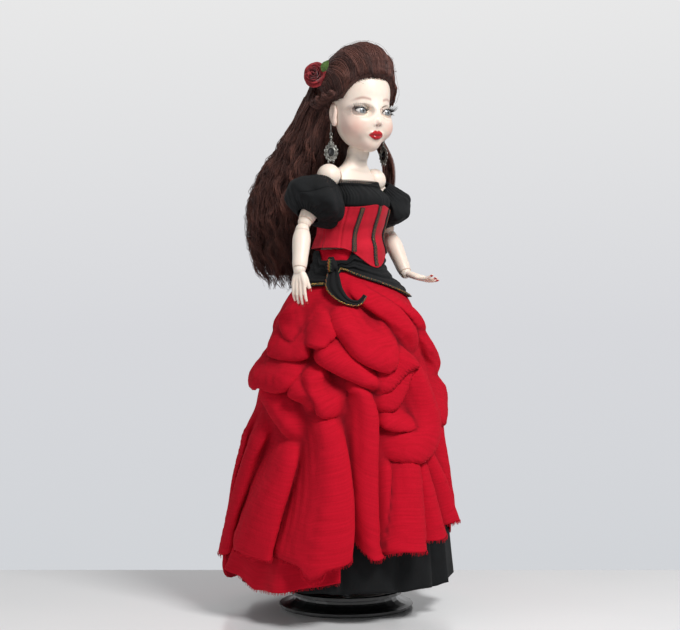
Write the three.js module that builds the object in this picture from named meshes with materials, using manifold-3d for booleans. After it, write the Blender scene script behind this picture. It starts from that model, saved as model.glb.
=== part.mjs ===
// A ball-jointed collector's doll in a corseted gown, standing on a turned base.
// Millimetres, +Z up. The origin is the middle of the base's underside, and the doll faces -Y.
// The doll's own right side is at -X.
import * as THREE from 'three';
import Module from 'manifold-3d';
import { mergeVertices } from 'three/addons/utils/BufferGeometryUtils.js';

const wasm = await Module();
wasm.setup();

// Stand
const standFootRadius = 59.5;
const standRimHeight = 3.5;
const standTopRadius = 50;
const standHeight = 16;
const standCoveDepth = 5;
const standDishDepth = 1.5;
const rodRadius = 3;
const rodSeatDepth = 10;
const saddleThickness = 3;
const saddleHalfLength = 17;
const saddleHalfWidth = 3.6;
const saddleRise = 9;

// Torso: every height above the hips is measured up from them
const hipHeight = 258;
const crotchDrop = 15;
const pelvisDrop = 6;
const waistRise = 64;
const neckRise = 81;
const neckBallRadius = 10.4;
const chestHalfWidth = 30;
const chestHalfDepth = 27;
const torsoForward = 14.4;
const hipHalfWidth = 34;
const hipHalfDepth = 26;
const crotchHalfWidth = 4;
const channelRadius = 5.2;
const elasticRadius = 0.9;

// Clearances
const touchGap = 0.3;
const jointGap = 0.2;
const clothGap = 0.5;
const skirtGap = 0.7;
const cutterReach = 200;

// Head, drawn round its own upright axis and turned a little to the doll's right
const headTurnDegrees = -15;
const craniumRise = 52;
const craniumHalfWidth = 27;
const craniumHalfDepth = 31;
const craniumHalfHeight = 33;
const faceRise = 29;
const faceForward = 8;
const faceHalfWidth = 24.5;
const faceHalfDepth = 24.3;
const faceHalfHeight = 27;
const chinRise = 9.5;
const chinForward = 17;
const chinRadius = 10.5;
const cheekRise = 23;
const cheekSpread = 12.5;
const cheekForward = 17;
const cheekRadius = 10.5;
const noseRise = 23;
const noseForward = 31;
const noseHalfWidth = 3;
const noseDepth = 4.6;
const noseHalfHeight = 4.2;
const bridgeRise = 31;
const bridgeHalfHeight = 9;
const lipRise = 12.5;
const lipForward = 27.2;
const lipHalfWidth = 5.6;
const lipDepth = 3.2;
const lipHalfHeight = 3.4;
const eyeRise = 33.5;
const eyeSpread = 13;
const eyeForward = 20.3;
const eyeRadius = 6.6;
const eyeOpeningHalfWidth = 6;
const eyeOpeningHalfHeight = 3.3;
const socketForward = 35.6;
const socketRadius = 8.5;
const lashLength = 2.2;
const lashThickness = 0.5;
const earRise = 31.5;
const earHalfHeight = 7.5;
const earHalfDepth = 4.4;
const earThickness = 2.6;
const earBack = 1;
const featureBlend = 4;
const headWall = 3;
const capFrontRise = 68;
const capBackRise = 51;
const hookWireRadius = 1.1;
const hookReach = 4;
const hookTopRise = 24;
const hookBottomDrop = 12;

// Hair
const hairLift = 9;
const hairlineRise = 62;
const templeRise = 46;
const templeForward = 15;
const napeRise = 11;
const napeBack = 14;
const poufRise = 75;
const poufForward = 6;
const poufHalfWidth = 26;
const poufHalfDepth = 27;
const poufHalfHeight = 21;
const twistRadius = 6.5;
const twistRise = 49;
const twistDrop = 12;
const twistLobeDepth = 1.1;
const longHairTopRise = 65;
const longHairDrop = 122;
const longHairHalfWidth = 47;
const longHairHalfDepth = 36;
const longHairBack = 74;
const lockDepth = 2.4;
const crownLocks = 14;
const petalTwist = 9;
const roseRadius = 10.5;
const roseSide = 37;
const roseBack = 12;
const roseRise = 68;
const leafLength = 12;
const leafHalfWidth = 4.5;
const leafThickness = 0.8;

// Earrings
const earWireRise = 25;
const earWireRadius = 0.45;
const earWireReach = 2.2;
const dropLength = 26;
const pendantHalfWidth = 7;
const pendantHeight = 17.5;
const filigreeRadius = 0.6;
const earStoneRadius = 3.2;
const earBeadRadius = 1.7;
const earringOut = 2.2;
const earringSpokes = 4;

// Arms: where their joints lie at rest
const shoulderSide = 30.5;
const shoulderForward = 7;
const shoulderShare = 59 / 81;
const shoulderBallRadius = 10.5;
const upperArmRadius = 8.6;
const rightElbowSide = 60;
const rightElbowForward = 4.5;
const rightElbowDrop = 45;
const rightWristSide = 74;
const rightWristForward = 13;
const rightWristDrop = 83;
const leftElbowSide = 54;
const leftElbowForward = 4.5;
const leftElbowDrop = 46;
const leftWristSide = 52;
const leftWristForward = 25.7;
const leftWristDrop = 83.5;
const elbowBallRadius = 6;
const elbowSpacing = 8;
const elbowNeckRadius = 4.4;
const elbowLip = 1.8;
const forearmTopRadius = 7.4;
const forearmEndRadius = 5.6;
const limbBoreRadius = 2.8;
const wristBallRadius = 4.6;
const wristLip = 1.4;
const wristPinRadius = 0.6;
const wristHookRadius = 1.75;
const wristWireRadius = 0.55;
const wristHookLength = 15;
const pocketRadius = 2.9;
const palmLength = 16;
const palmHalfWidth = 7;
const palmHalfThickness = 3.2;
const fingerLength = 16;
const fingerRadius = 1.7;

// Legs
const hipSide = 19;
const hipBack = 2;
const hipBallRadius = 12.4;
const thighRadius = 13;
const thighDrop = 9.5;
const kneeShare = 96 / 212;
const kneeBallRadius = 8.2;
const kneeSpacing = 10;
const kneeNeckRadius = 6;
const kneeLip = 2.4;
const calfTopRadius = 10.4;
const ankleHeight = 46;
const ankleBallRadius = 5.6;
const ankleRadius = 7;
const ankleLip = 1.4;
const footLength = 34;
const footHalfWidth = 8;
const footHalfThickness = 5.5;
const footDrop = 22;

// Clothes
const bodiceTopDrop = 8;
const bodiceBottomShare = 24 / 81;
const bodiceThickness = 1;
const laceHeight = 6;
const laceThickness = 0.8;
const laceScallop = 1.6;
const corsetTopShare = 31 / 81;
const corsetSideDrop = 4;
const corsetPointDrop = 21;
const corsetThickness = 1.4;
const trimWidth = 4;
const trimThickness = 0.9;
const sleeveRadius = 22;
const sleeveStart = 9;
const sleeveEnd = 43;
const sleeveInset = 33;
const sleevePleat = 1.5;
const skirtTopDrop = 10;
const petticoatThickness = 0.6;
const petticoatHem = 27;
const petticoatHemRadius = 92;
const petticoatPleat = 2.4;
const overskirtTopDrop = 13;
const overskirtThickness = 1.2;
const overskirtFrontHem = 58;
const overskirtBackHem = 7;
const overskirtTrain = 21;
const poufReach = 16;
const upperPoufHeight = 208;
const upperPoufHalfHeight = 30;
const lowerPoufHeight = 116;
const lowerPoufHalfHeight = 36;
const sashTopDrop = 6;
const sashDip = 8;
const sashThickness = 1.3;
const sashFold = 1;
const knotRadius = 6.5;
const tailDrop = 36;
const tailWidth = 9;
const tailThickness = 1.4;

// Heights that follow from the driving sizes
const crotchHeight = hipHeight - crotchDrop;
const pelvisBottom = hipHeight - pelvisDrop;
const waistHeight = hipHeight + waistRise;
const neckBallHeight = waistHeight + neckRise;
const kneeHeight = ankleHeight + (hipHeight - ankleHeight) * kneeShare;
const shoulderHeight = waistHeight + neckRise * shoulderShare;
const [craniumHeight, faceHeight, chinHeight, cheekHeight, noseHeight, bridgeHeight, lipHeight,
  eyeHeight, earHeight, capFrontHeight, capBackHeight, hookTop, hairlineHeight, templeHeight,
  napeHeight, poufHeight, twistHeight, longHairTop, roseHeight, earWireHeight] = [craniumRise,
  faceRise, chinRise, cheekRise, noseRise, bridgeRise, lipRise, eyeRise, earRise, capFrontRise,
  capBackRise, hookTopRise, hairlineRise, templeRise, napeRise, poufRise, twistRise, longHairTopRise,
  roseRise, earWireRise].map((rise) => neckBallHeight + rise);
const hookBottom = neckBallHeight - hookBottomDrop;
const longHairEnd = neckBallHeight - longHairDrop;
const bodiceTop = shoulderHeight - bodiceTopDrop;
const bodiceBottom = waistHeight + neckRise * bodiceBottomShare;
const corsetTop = waistHeight + neckRise * corsetTopShare;
const corsetSide = waistHeight - corsetSideDrop;
const corsetPoint = waistHeight - corsetPointDrop;
const skirtTop = waistHeight - skirtTopDrop;
const overskirtTop = waistHeight - overskirtTopDrop;
const sashTop = waistHeight - sashTopDrop;

// How finely round forms are divided
const bodySides = 18;
const limbSides = 10;
const ballSides = 10;
const bigBallSides = 12;
const wireSides = 5;
const boreSides = 6;
const clothSides = 30;
const footSides = 26;
const headSides = 24;
const headRows = 18;
const searchSteps = 24;
const mergeTolerance = 1e-4;

const skin = { color: 0xf3e6dc, roughness: 0.45, metalness: 0 };
const steel = { color: 0xb8bcc0, roughness: 0.3, metalness: 1 };
const silver = { color: 0x9a9a96, roughness: 0.35, metalness: 1 };
const elastic = { color: 0xf4f1e8, roughness: 0.8, metalness: 0 };
const glass = { color: 0x8f8a88, roughness: 0.05, metalness: 0 };
const onyx = { color: 0x08080a, roughness: 0.08, metalness: 0 };
const hair = { color: 0x4a2a26, roughness: 0.6, metalness: 0 };
const lashHair = { color: 0x0c0a0a, roughness: 0.7, metalness: 0 };
const petal = { color: 0x8a1018, roughness: 0.7, metalness: 0 };
const leafGreen = { color: 0x3f5a2c, roughness: 0.7, metalness: 0 };
const turnedWood = { color: 0x1c1715, roughness: 0.35, metalness: 0 };
const blackCloth = { color: 0x14171a, roughness: 0.9, metalness: 0 };
const redCloth = { color: 0xc4001f, roughness: 0.9, metalness: 0 };
const braid = { color: 0x3a3420, roughness: 0.7, metalness: 0 };

const doll = new THREE.Group();

const point = (x, y, z) => new THREE.Vector3(x, y, z);
const radians = THREE.MathUtils.degToRad;
const mix = THREE.MathUtils.lerp;

// Adds one named piece to a group.
function piece(name, geometry, finish, parent = doll) {
  const mesh = new THREE.Mesh(geometry, new THREE.MeshStandardMaterial(finish));
  mesh.name = name;
  parent.add(mesh);
  return mesh;
}

// Reads a list of evenly spaced shares at a place from 0 to 1.
function readShares(shares, place) {
  const at = Math.min(Math.max(place, 0), 1) * (shares.length - 1);
  const index = Math.min(Math.floor(at), shares.length - 2);
  return mix(shares[index], shares[index + 1], at - index);
}

// A closed body from points and triangles, turned right side out.
function closedBody(points, faces) {
  let volume = 0;
  for (const [a, b, c] of faces) volume += points[a].dot(points[b].clone().cross(points[c]));
  const index = faces.flatMap(([a, b, c]) => (volume > 0 ? [a, b, c] : [a, c, b]));
  const geometry = new THREE.BufferGeometry().setFromPoints(points);
  geometry.setIndex(index);
  return geometry;
}

// Two rows of points joined all the way round.
function joinRows(faces, first, second, count) {
  for (let i = 0; i < count; i += 1) {
    const next = (i + 1) % count;
    faces.push([first + i, first + next, second + next]);
    faces.push([first + i, second + next, second + i]);
  }
}

// A solid through a stack of rings, closed at both ends.
function loft(rings) {
  const count = rings[0].length;
  const points = rings.flat();
  const faces = [];
  for (let r = 0; r < rings.length - 1; r += 1) joinRows(faces, r * count, (r + 1) * count, count);
  for (const [ring, start, turned] of [[rings[0], 0, true],
    [rings.at(-1), (rings.length - 1) * count, false]]) {
    const middle = ring.reduce((sum, p) => sum.add(p), point(0, 0, 0)).divideScalar(count);
    const hub = points.push(middle) - 1;
    for (let i = 0; i < count; i += 1) {
      const next = (i + 1) % count;
      faces.push(turned ? [hub, start + next, start + i] : [hub, start + i, start + next]);
    }
  }
  return closedBody(points, faces);
}

// A wall between an outer and an inner stack of rings, open at the top and the bottom.
function wall(outer, inner) {
  const count = outer[0].length;
  const rows = [...outer, ...[...inner].reverse()];
  const faces = [];
  for (let r = 0; r < rows.length; r += 1) {
    joinRows(faces, r * count, ((r + 1) % rows.length) * count, count);
  }
  return closedBody(rows.flat(), faces);
}

// A ring of points from a function of the angle.
function ringOf(count, place) {
  return Array.from({ length: count }, (_, i) => place((i / count) * 2 * Math.PI));
}

// A round ring across a direction, flattened along its second axis where asked.
function crossRing(middle, along, radius, count, flat = 1) {
  const axis = along.clone().normalize();
  const across = Math.abs(axis.x) > 0.9 ? point(0, 1, 0) : point(1, 0, 0);
  const side = across.addScaledVector(axis, -across.dot(axis)).normalize();
  const up = axis.clone().cross(side);
  return ringOf(count, (angle) => middle.clone()
    .addScaledVector(side, Math.cos(angle) * radius)
    .addScaledVector(up, Math.sin(angle) * radius * flat));
}

// A ball with its middle at a place.
function ball(middle, radius, sides = ballSides) {
  return new THREE.SphereGeometry(radius, sides, Math.round(sides * 0.6))
    .rotateX(Math.PI / 2).translate(middle.x, middle.y, middle.z);
}

// The hollow that a ball turns in: its flat facets stay clear of the ball's corners.
function socket(middle, radius, sides = ballSides) {
  const facet = Math.cos(Math.PI / sides) * Math.cos(Math.PI / (2 * Math.round(sides * 0.6)));
  return ball(middle, (radius + jointGap) / facet, sides);
}

// A turned body on the Z axis, from pairs of radius and height.
function turned(profile, sides = footSides) {
  return new THREE.LatheGeometry(profile.map(([r, z]) => new THREE.Vector2(r, z)), sides)
    .rotateX(Math.PI / 2);
}

// A round bar along a smooth curve.
function bar(places, radius, steps, sides = wireSides) {
  const path = new THREE.CatmullRomCurve3(places, false, 'centripetal');
  const section = new THREE.Shape(Array.from({ length: sides }, (_, i) => {
    const angle = (i / sides) * 2 * Math.PI;
    return new THREE.Vector2(Math.cos(angle) * radius, Math.sin(angle) * radius);
  }));
  return new THREE.ExtrudeGeometry(section, { steps, bevelEnabled: false, extrudePath: path });
}

// A straight round bar between two places.
function rod(from, to, radius, sides = limbSides, endRadius = radius) {
  const along = to.clone().sub(from);
  return loft([crossRing(from, along, radius, sides), crossRing(to, along, endRadius, sides)]);
}

// A plain block between two corners.
function block(low, high) {
  const size = high.clone().sub(low);
  const middle = high.clone().add(low).multiplyScalar(0.5);
  return new THREE.BoxGeometry(size.x, size.y, size.z).translate(middle.x, middle.y, middle.z);
}

function solidOf(geometry) {
  const bare = new THREE.BufferGeometry();
  bare.setAttribute('position', geometry.getAttribute('position'));
  bare.setIndex(geometry.index);
  const merged = mergeVertices(bare, mergeTolerance);
  return new wasm.Manifold(new wasm.Mesh({
    numProp: 3,
    vertProperties: new Float32Array(merged.attributes.position.array),
    triVerts: new Uint32Array(merged.index.array),
  }));
}

function geometryOf(solid) {
  const mesh = solid.getMesh();
  const geometry = new THREE.BufferGeometry();
  geometry.setAttribute('position', new THREE.BufferAttribute(mesh.vertProperties, 3));
  geometry.setIndex(new THREE.BufferAttribute(mesh.triVerts, 1));
  return geometry;
}

// One body joined from several, less all the cuts.
function joined(adds, cuts = []) {
  let solid = solidOf(adds[0]);
  for (const add of adds.slice(1)) solid = solid.add(solidOf(add));
  for (const cut of cuts) solid = solid.subtract(solidOf(cut));
  return geometryOf(solid);
}

// A closed surface seen whole from its middle: the far side of a field along each direction.
function starBody(middle, field, around, rows, reach) {
  const place = (direction) => {
    let near = 0;
    let far = reach;
    for (let i = 0; i < searchSteps; i += 1) {
      const half = (near + far) / 2;
      if (field(middle.clone().addScaledVector(direction, half)) < 0) near = half;
      else far = half;
    }
    return middle.clone().addScaledVector(direction, near);
  };
  const rings = [];
  for (let r = 1; r < rows; r += 1) {
    const lift = -Math.PI / 2 + (Math.PI * r) / rows;
    rings.push(ringOf(around, (angle) => place(point(
      Math.cos(angle) * Math.cos(lift), Math.sin(angle) * Math.cos(lift), Math.sin(lift),
    ))));
  }
  const points = rings.flat();
  const bottom = points.push(place(point(0, 0, -1))) - 1;
  const top = points.push(place(point(0, 0, 1))) - 1;
  const faces = [];
  for (let r = 0; r < rings.length - 1; r += 1) joinRows(faces, r * around, (r + 1) * around, around);
  const last = (rings.length - 1) * around;
  for (let i = 0; i < around; i += 1) {
    const next = (i + 1) % around;
    faces.push([bottom, next, i]);
    faces.push([top, last + i, last + next]);
  }
  return closedBody(points, faces);
}

// How far a place lies outside an ellipsoid, roughly.
function ellipsoid(p, middle, size) {
  const part = p.clone().sub(middle).divide(size).length();
  return (part - 1) * Math.min(size.x, size.y, size.z);
}

// Two fields joined with a soft crease between them.
function blended(a, b, width = featureBlend) {
  const share = Math.max(width - Math.abs(a - b), 0) / width;
  return Math.min(a, b) - share * share * width * 0.25;
}

// Torso: sections at even heights, as shares of its driving sizes
const torsoWidthShares = [0.97, 0.98, 0.98, 0.97, 0.94, 0.9, 0.86, 0.42, 0.32];
const torsoDepthShares = [0.89, 0.9, 0.93, 0.98, 0.97, 0.66, 0.46, 0.36, 0.35];
const torsoForwardShares = [0.22, 0.32, 0.52, 0.68, 0.7, 0.5, 0.5, 0.72, 1];
const spineForwardShares = [0.25, 0.28, 0.32, 0.37, 0.42, 0.47, 0.52, 0.9, 1];

function torsoSection(height) {
  const place = (height - waistHeight) / (neckBallHeight - waistHeight);
  return {
    halfWidth: chestHalfWidth * readShares(torsoWidthShares, place),
    halfDepth: chestHalfDepth * readShares(torsoDepthShares, place),
    forward: torsoForward * readShares(torsoForwardShares, place),
  };
}

// A place on the torso, lifted off its skin.
function onTorso(angle, height, lift) {
  const { halfWidth, halfDepth, forward } = torsoSection(height);
  return point(Math.cos(angle) * (halfWidth + lift), Math.sin(angle) * (halfDepth + lift) - forward,
    height);
}

const sides = { right: -1, left: 1 };
const shoulderAt = (side) => point(side * shoulderSide, -shoulderForward, shoulderHeight);
const hipAt = (side) => point(side * hipSide, hipBack, hipHeight);
const neckAt = point(0, -torsoForward, neckBallHeight);

// The space that an arm passes through as it swings to the front and the back.
function armSweep(side) {
  const slope = (rightElbowSide - shoulderSide) / rightElbowDrop;
  const rim = shoulderBallRadius;
  const deep = shoulderHeight - corsetTop + rim;
  const inner = (drop) => drop * slope - upperArmRadius * 1.2 - clothGap;
  const profile = [[0, -rim * 0.9], [rim * 0.6, -rim * 0.9], [rim + clothGap, inner(rim)],
    [deep, inner(deep)], [deep, deep], [0, deep]];
  const middle = shoulderAt(side);
  return new THREE.LatheGeometry(profile.map(([r, out]) => new THREE.Vector2(r, out)), bodySides)
    .rotateZ(side * -Math.PI / 2).translate(middle.x, middle.y, middle.z);
}

// The middle of the bored channel that the elastic runs through
function spineAt(height, aside = 0) {
  const place = (height - waistHeight) / (neckBallHeight - waistHeight);
  return point(0, aside - torsoForward * readShares(spineForwardShares, place), height);
}

function spinePlaces(low, high, aside = 0) {
  const steps = spineForwardShares.length - 1;
  return Array.from({ length: steps + 1 }, (_, i) => spineAt(mix(low, high, i / steps), aside));
}

function upperTorso() {
  const rows = torsoWidthShares.length - 1;
  const rings = [];
  for (let r = 0; r <= rows; r += 1) {
    const height = mix(waistHeight, neckBallHeight, r / rows);
    rings.push(ringOf(bodySides, (angle) => onTorso(angle, height, 0)));
  }
  const channel = bar([spineAt(waistHeight - channelRadius),
    ...spinePlaces(waistHeight, neckBallHeight), spineAt(neckBallHeight).setZ(neckBallHeight
      + 2 * neckBallRadius)], channelRadius, 12, 8);
  const armBore = rod(point(-shoulderSide, -shoulderForward, shoulderHeight),
    point(shoulderSide, -shoulderForward, shoulderHeight), elasticRadius + touchGap);
  const sockets = Object.values(sides).map((side) => socket(shoulderAt(side),
    shoulderBallRadius, bigBallSides));
  return joined([loft(rings), ball(neckAt, neckBallRadius, bigBallSides)],
    [channel, armBore, ...sockets]);
}

// Pelvis: half-width and half-depth shares from its lower edge to the waist
const pelvisWidthShares = [0.86, 0.98, 1, 0.96, 0.88, 0.8];
const pelvisDepthShares = [0.8, 0.96, 1, 0.96, 0.88, 0.82];

function lowerTorso() {
  const rows = pelvisWidthShares.length - 1;
  const rings = [];
  for (let r = 0; r <= rows; r += 1) {
    const height = mix(pelvisBottom, waistHeight - touchGap, r / rows);
    const halfWidth = hipHalfWidth * pelvisWidthShares[r];
    const halfDepth = hipHalfDepth * pelvisDepthShares[r];
    const forward = torsoForward * torsoForwardShares[0] * (r / rows);
    rings.push(ringOf(bodySides, (angle) => point(Math.cos(angle) * halfWidth,
      Math.sin(angle) * halfDepth - forward, height)));
  }
  const crotch = ball(point(0, 0, 0), hipHalfDepth * 0.5, ballSides)
    .scale(crotchHalfWidth / (hipHalfDepth * 0.5), 1, 1)
    .translate(0, 0, crotchHeight + hipHalfDepth * 0.5);
  const channel = rod(point(0, -torsoForward * 0.2, waistHeight + channelRadius),
    point(0, 0, hipHeight + channelRadius), channelRadius);
  const cuts = Object.values(sides).flatMap((side) => [
    socket(hipAt(side), hipBallRadius, bigBallSides),
    rod(hipAt(side), point(0, 0, hipHeight + hipBallRadius * 1.4), limbBoreRadius),
  ]);
  return joined([loft(rings), crotch], [channel, ...cuts]);
}

function bodyElastic() {
  const overHook = hookBottom + 2 * hookWireRadius + touchGap + elasticRadius;
  const spread = hookWireRadius + 2 * elasticRadius;
  const top = mix(shoulderHeight, overHook, 0.75);
  const strand = (side) => [
    point(side * hipSide * 0.75, hipBack * 0.75, hipHeight + hipBallRadius * 0.35),
    point(side * elasticRadius, side * spread * 0.6, hipHeight + hipBallRadius * 1.5),
    ...spinePlaces(waistHeight, top, side * spread)];
  const places = [...strand(sides.right), spineAt(neckBallHeight).setZ(overHook),
    ...strand(sides.left).reverse()];
  return bar(places, elasticRadius, 32, wireSides);
}

function armElastic() {
  const end = shoulderSide - shoulderBallRadius * 0.5;
  return rod(point(-end, -shoulderForward, shoulderHeight),
    point(end, -shoulderForward, shoulderHeight), elasticRadius, wireSides);
}

// Stand
function standBase() {
  const neck = standTopRadius - standCoveDepth;
  const arcSteps = 6;
  const profile = [[0, 0], [standFootRadius - standDishDepth, 0], [standFootRadius, standDishDepth],
    [standFootRadius, standRimHeight]];
  for (let i = 0; i <= arcSteps; i += 1) {
    const angle = (Math.PI / 2) * (i / arcSteps);
    profile.push([mix(standFootRadius - standDishDepth, neck, Math.sin(angle)),
      mix(standRimHeight, standHeight * 0.7, 1 - Math.cos(angle))]);
  }
  profile.push([standTopRadius, standHeight * 0.8], [standTopRadius, standHeight * 0.95],
    [standTopRadius - standDishDepth, standHeight], [0, standHeight]);
  const hole = rod(point(0, 0, standHeight - rodSeatDepth), point(0, 0, 2 * standHeight),
    rodRadius + touchGap, ballSides);
  return joined([turned(profile)], [hole]);
}

const saddleFloor = crotchHeight - touchGap - saddleThickness;

function standRod() {
  return rod(point(0, 0, standHeight - rodSeatDepth + touchGap), point(0, 0, saddleFloor - touchGap),
    rodRadius, ballSides);
}

function standSaddle() {
  const steps = 8;
  const outline = [];
  const curve = (share) => Math.abs(share) ** 3 * saddleRise;
  for (let i = 0; i <= steps; i += 1) {
    const share = mix(-1, 1, i / steps);
    outline.push(new THREE.Vector2(share * saddleHalfLength, saddleFloor + curve(share)));
  }
  for (let i = steps; i >= 0; i -= 1) {
    const share = mix(-1, 1, i / steps);
    outline.push(new THREE.Vector2(share * saddleHalfLength,
      saddleFloor + saddleThickness + curve(share)));
  }
  return new THREE.ExtrudeGeometry(new THREE.Shape(outline),
    { depth: 2 * saddleHalfWidth, bevelEnabled: false })
    .translate(0, 0, -saddleHalfWidth).rotateX(Math.PI / 2).rotateZ(Math.PI / 2);
}

piece('stand_base', standBase(), turnedWood);
piece('stand_rod', standRod(), steel);
piece('stand_saddle', standSaddle(), steel);
piece('upper_torso', upperTorso(), skin);
piece('lower_torso', lowerTorso(), skin);
piece('body_elastic', bodyElastic(), elastic);
piece('arm_elastic', armElastic(), elastic);

// Head, in a group of its own that is turned on the neck
const head = new THREE.Group();
head.position.set(0, -torsoForward, 0);
head.rotation.z = radians(headTurnDegrees);
doll.add(head);

const headForms = [
  [point(0, 0, craniumHeight), point(craniumHalfWidth, craniumHalfDepth, craniumHalfHeight)],
  [point(0, -faceForward, faceHeight), point(faceHalfWidth, faceHalfDepth, faceHalfHeight)],
  [point(0, -chinForward, chinHeight), point(chinRadius, chinRadius, chinRadius)],
  [point(-cheekSpread, -cheekForward, cheekHeight), point(cheekRadius, cheekRadius, cheekRadius)],
  [point(cheekSpread, -cheekForward, cheekHeight), point(cheekRadius, cheekRadius, cheekRadius)],
];
const faceForms = [
  [point(0, -noseForward, noseHeight), point(noseHalfWidth, noseDepth, noseHalfHeight)],
  [point(0, -noseForward + noseDepth * 0.5, bridgeHeight),
    point(noseHalfWidth * 0.8, noseDepth * 0.6, bridgeHalfHeight)],
  [point(0, -lipForward, lipHeight), point(lipHalfWidth, lipDepth, lipHalfHeight)],
];
const earSide = craniumHalfWidth - earThickness;
const eyeSockets = Object.values(sides).map((side) => [
  point(side * eyeSpread, -socketForward, eyeHeight),
  point(socketRadius, socketRadius, socketRadius),
]);

function skullField(p) {
  return headForms.map(([middle, size]) => ellipsoid(p, middle, size))
    .reduce((near, next) => blended(near, next));
}

function headField(p) {
  let near = skullField(p);
  for (const [middle, size] of eyeSockets) near = -blended(-near, ellipsoid(p, middle, size));
  for (const [middle, size] of faceForms) {
    near = blended(near, ellipsoid(p, middle, size), featureBlend * 0.5);
  }
  return near;
}

const headMiddle = point(0, -faceForward * 0.4, mix(faceHeight, craniumHeight, 0.35));
const headReach = 2 * craniumHalfHeight;
const headForm = (lift) => starBody(headMiddle, (p) => headField(p) - lift, headSides, headRows,
  headReach);

// A block from an outline of (y, z) pairs, as wide as asked.
function sidePrism(outline, halfWidth) {
  const shape = new THREE.Shape(outline.map(([y, z]) => new THREE.Vector2(y, z)));
  return new THREE.ExtrudeGeometry(shape, { depth: 2 * halfWidth, bevelEnabled: false })
    .translate(0, 0, -halfWidth).rotateX(Math.PI / 2).rotateZ(Math.PI / 2);
}

function capBlock(lift) {
  const front = capFrontHeight + lift;
  const back = capBackHeight + lift;
  return sidePrism([[-headReach, front], [headReach, back], [headReach, front + headReach],
    [-headReach, front + headReach]], headReach);
}

// An ear stands off the head at its lower end, where the ear wire goes through it.
function ear(side) {
  return ball(point(0, 0, 0), earHalfHeight).scale(earThickness / earHalfHeight,
    earHalfDepth / earHalfHeight, 1).translate(side * earSide, earBack, earHeight);
}

function headParts() {
  const hollow = starBody(headMiddle, (p) => skullField(p) + headWall, 12, 8, headReach);
  const neckSeat = socket(point(0, 0, neckBallHeight), neckBallRadius, bigBallSides);
  const eyeCuts = Object.values(sides).flatMap((side) => {
    const middle = point(side * eyeSpread, -eyeForward, eyeHeight);
    const opening = rod(point(0, 0, 0), point(0, -eyeRadius * 3, 0), eyeOpeningHalfWidth, ballSides)
      .scale(1, 1, eyeOpeningHalfHeight / eyeOpeningHalfWidth)
      .translate(middle.x, middle.y, middle.z);
    return [socket(middle, eyeRadius), opening];
  });
  const earHoles = Object.values(sides).map((side) => rod(
    point(side * (craniumHalfWidth - 3 * earThickness), earBack, earWireHeight),
    point(side * (craniumHalfWidth + 2 * earThickness), earBack, earWireHeight),
    earWireRadius + touchGap, wireSides,
  ));
  const ears = Object.values(sides).map(ear);
  const shell = joined([headForm(0), ...ears], [hollow, neckSeat, capBlock(0), ...eyeCuts,
    ...earHoles]);
  const cap = geometryOf(solidOf(headForm(0)).intersect(solidOf(capBlock(touchGap)))
    .subtract(solidOf(hollow)));
  return { shell, cap };
}

// Where the head's surface lies, looking in from the front or from the side.
function headSurface(from, along) {
  let near = 0;
  let far = headReach;
  for (let i = 0; i < searchSteps; i += 1) {
    const half = (near + far) / 2;
    if (headField(from.clone().addScaledVector(along, half)) > 0) near = half;
    else far = half;
  }
  return from.clone().addScaledVector(along, near);
}

function lashes(side) {
  const steps = 8;
  const rings = [];
  for (let i = 0; i <= steps; i += 1) {
    const angle = mix(0.12, 0.9, i / steps) * Math.PI;
    const x = side * eyeSpread + Math.cos(angle) * (eyeOpeningHalfWidth + lashThickness);
    const z = eyeHeight + Math.sin(angle) * (eyeOpeningHalfHeight + lashThickness);
    const root = headSurface(point(x, -headReach, z), point(0, 1, 0));
    root.y -= touchGap;
    const out = point(Math.cos(angle) * 0.5, -1, Math.sin(angle) * 0.7).normalize();
    const up = point(0, 0, lashThickness);
    const tip = root.clone().addScaledVector(out, lashLength);
    rings.push([root, root.clone().add(up), tip.clone().add(up.clone().multiplyScalar(0.6)), tip]);
  }
  return loft(rings);
}

function neckHook() {
  const reach = hookReach;
  return bar([point(-reach, 0, hookTop - reach), point(-reach * 0.8, 0, hookTop - reach * 0.4),
    point(0, 0, hookTop), point(reach * 0.8, 0, hookTop - reach * 0.5),
    point(reach * 0.4, 0, hookTop - reach * 1.6), point(0, 0, hookTop - reach * 3),
    point(0, 0, hookBottom + reach * 2), point(-reach * 0.62, 0, hookBottom + reach * 0.9),
    point(0, 0, hookBottom + hookWireRadius), point(reach * 0.62, 0, hookBottom + reach * 0.9),
  ], hookWireRadius, 20);
}

const { shell, cap } = headParts();
piece('neck_hook', neckHook(), steel, head);
piece('head_shell', shell, skin, head);
piece('head_cap', cap, skin, head);
for (const [name, side] of Object.entries(sides)) {
  piece(`${name}_eye`, ball(point(side * eyeSpread, -eyeForward, eyeHeight), eyeRadius), glass, head);
  piece(`${name}_lashes`, lashes(side), lashHair, head);
}

// Wig
function crownField(p) {
  const lift = point(hairLift * 0.8, hairLift, hairLift * 0.7);
  const whole = ellipsoid(p, point(0, hairLift * 0.3, craniumHeight),
    point(craniumHalfWidth, craniumHalfDepth, craniumHalfHeight).add(lift));
  const front = ellipsoid(p, point(0, -poufForward, poufHeight),
    point(poufHalfWidth, poufHalfDepth, poufHalfHeight));
  const near = blended(whole, front, 2 * featureBlend);
  const comb = Math.atan2(p.x, p.z - earHeight) * crownLocks;
  return near - Math.cos(comb) * lockDepth * 0.25;
}

const crownMiddle = point(0, 0, craniumHeight);
const crownForm = (lift) => starBody(crownMiddle, (p) => crownField(p) - lift, 22, 12,
  2 * headReach);

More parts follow.
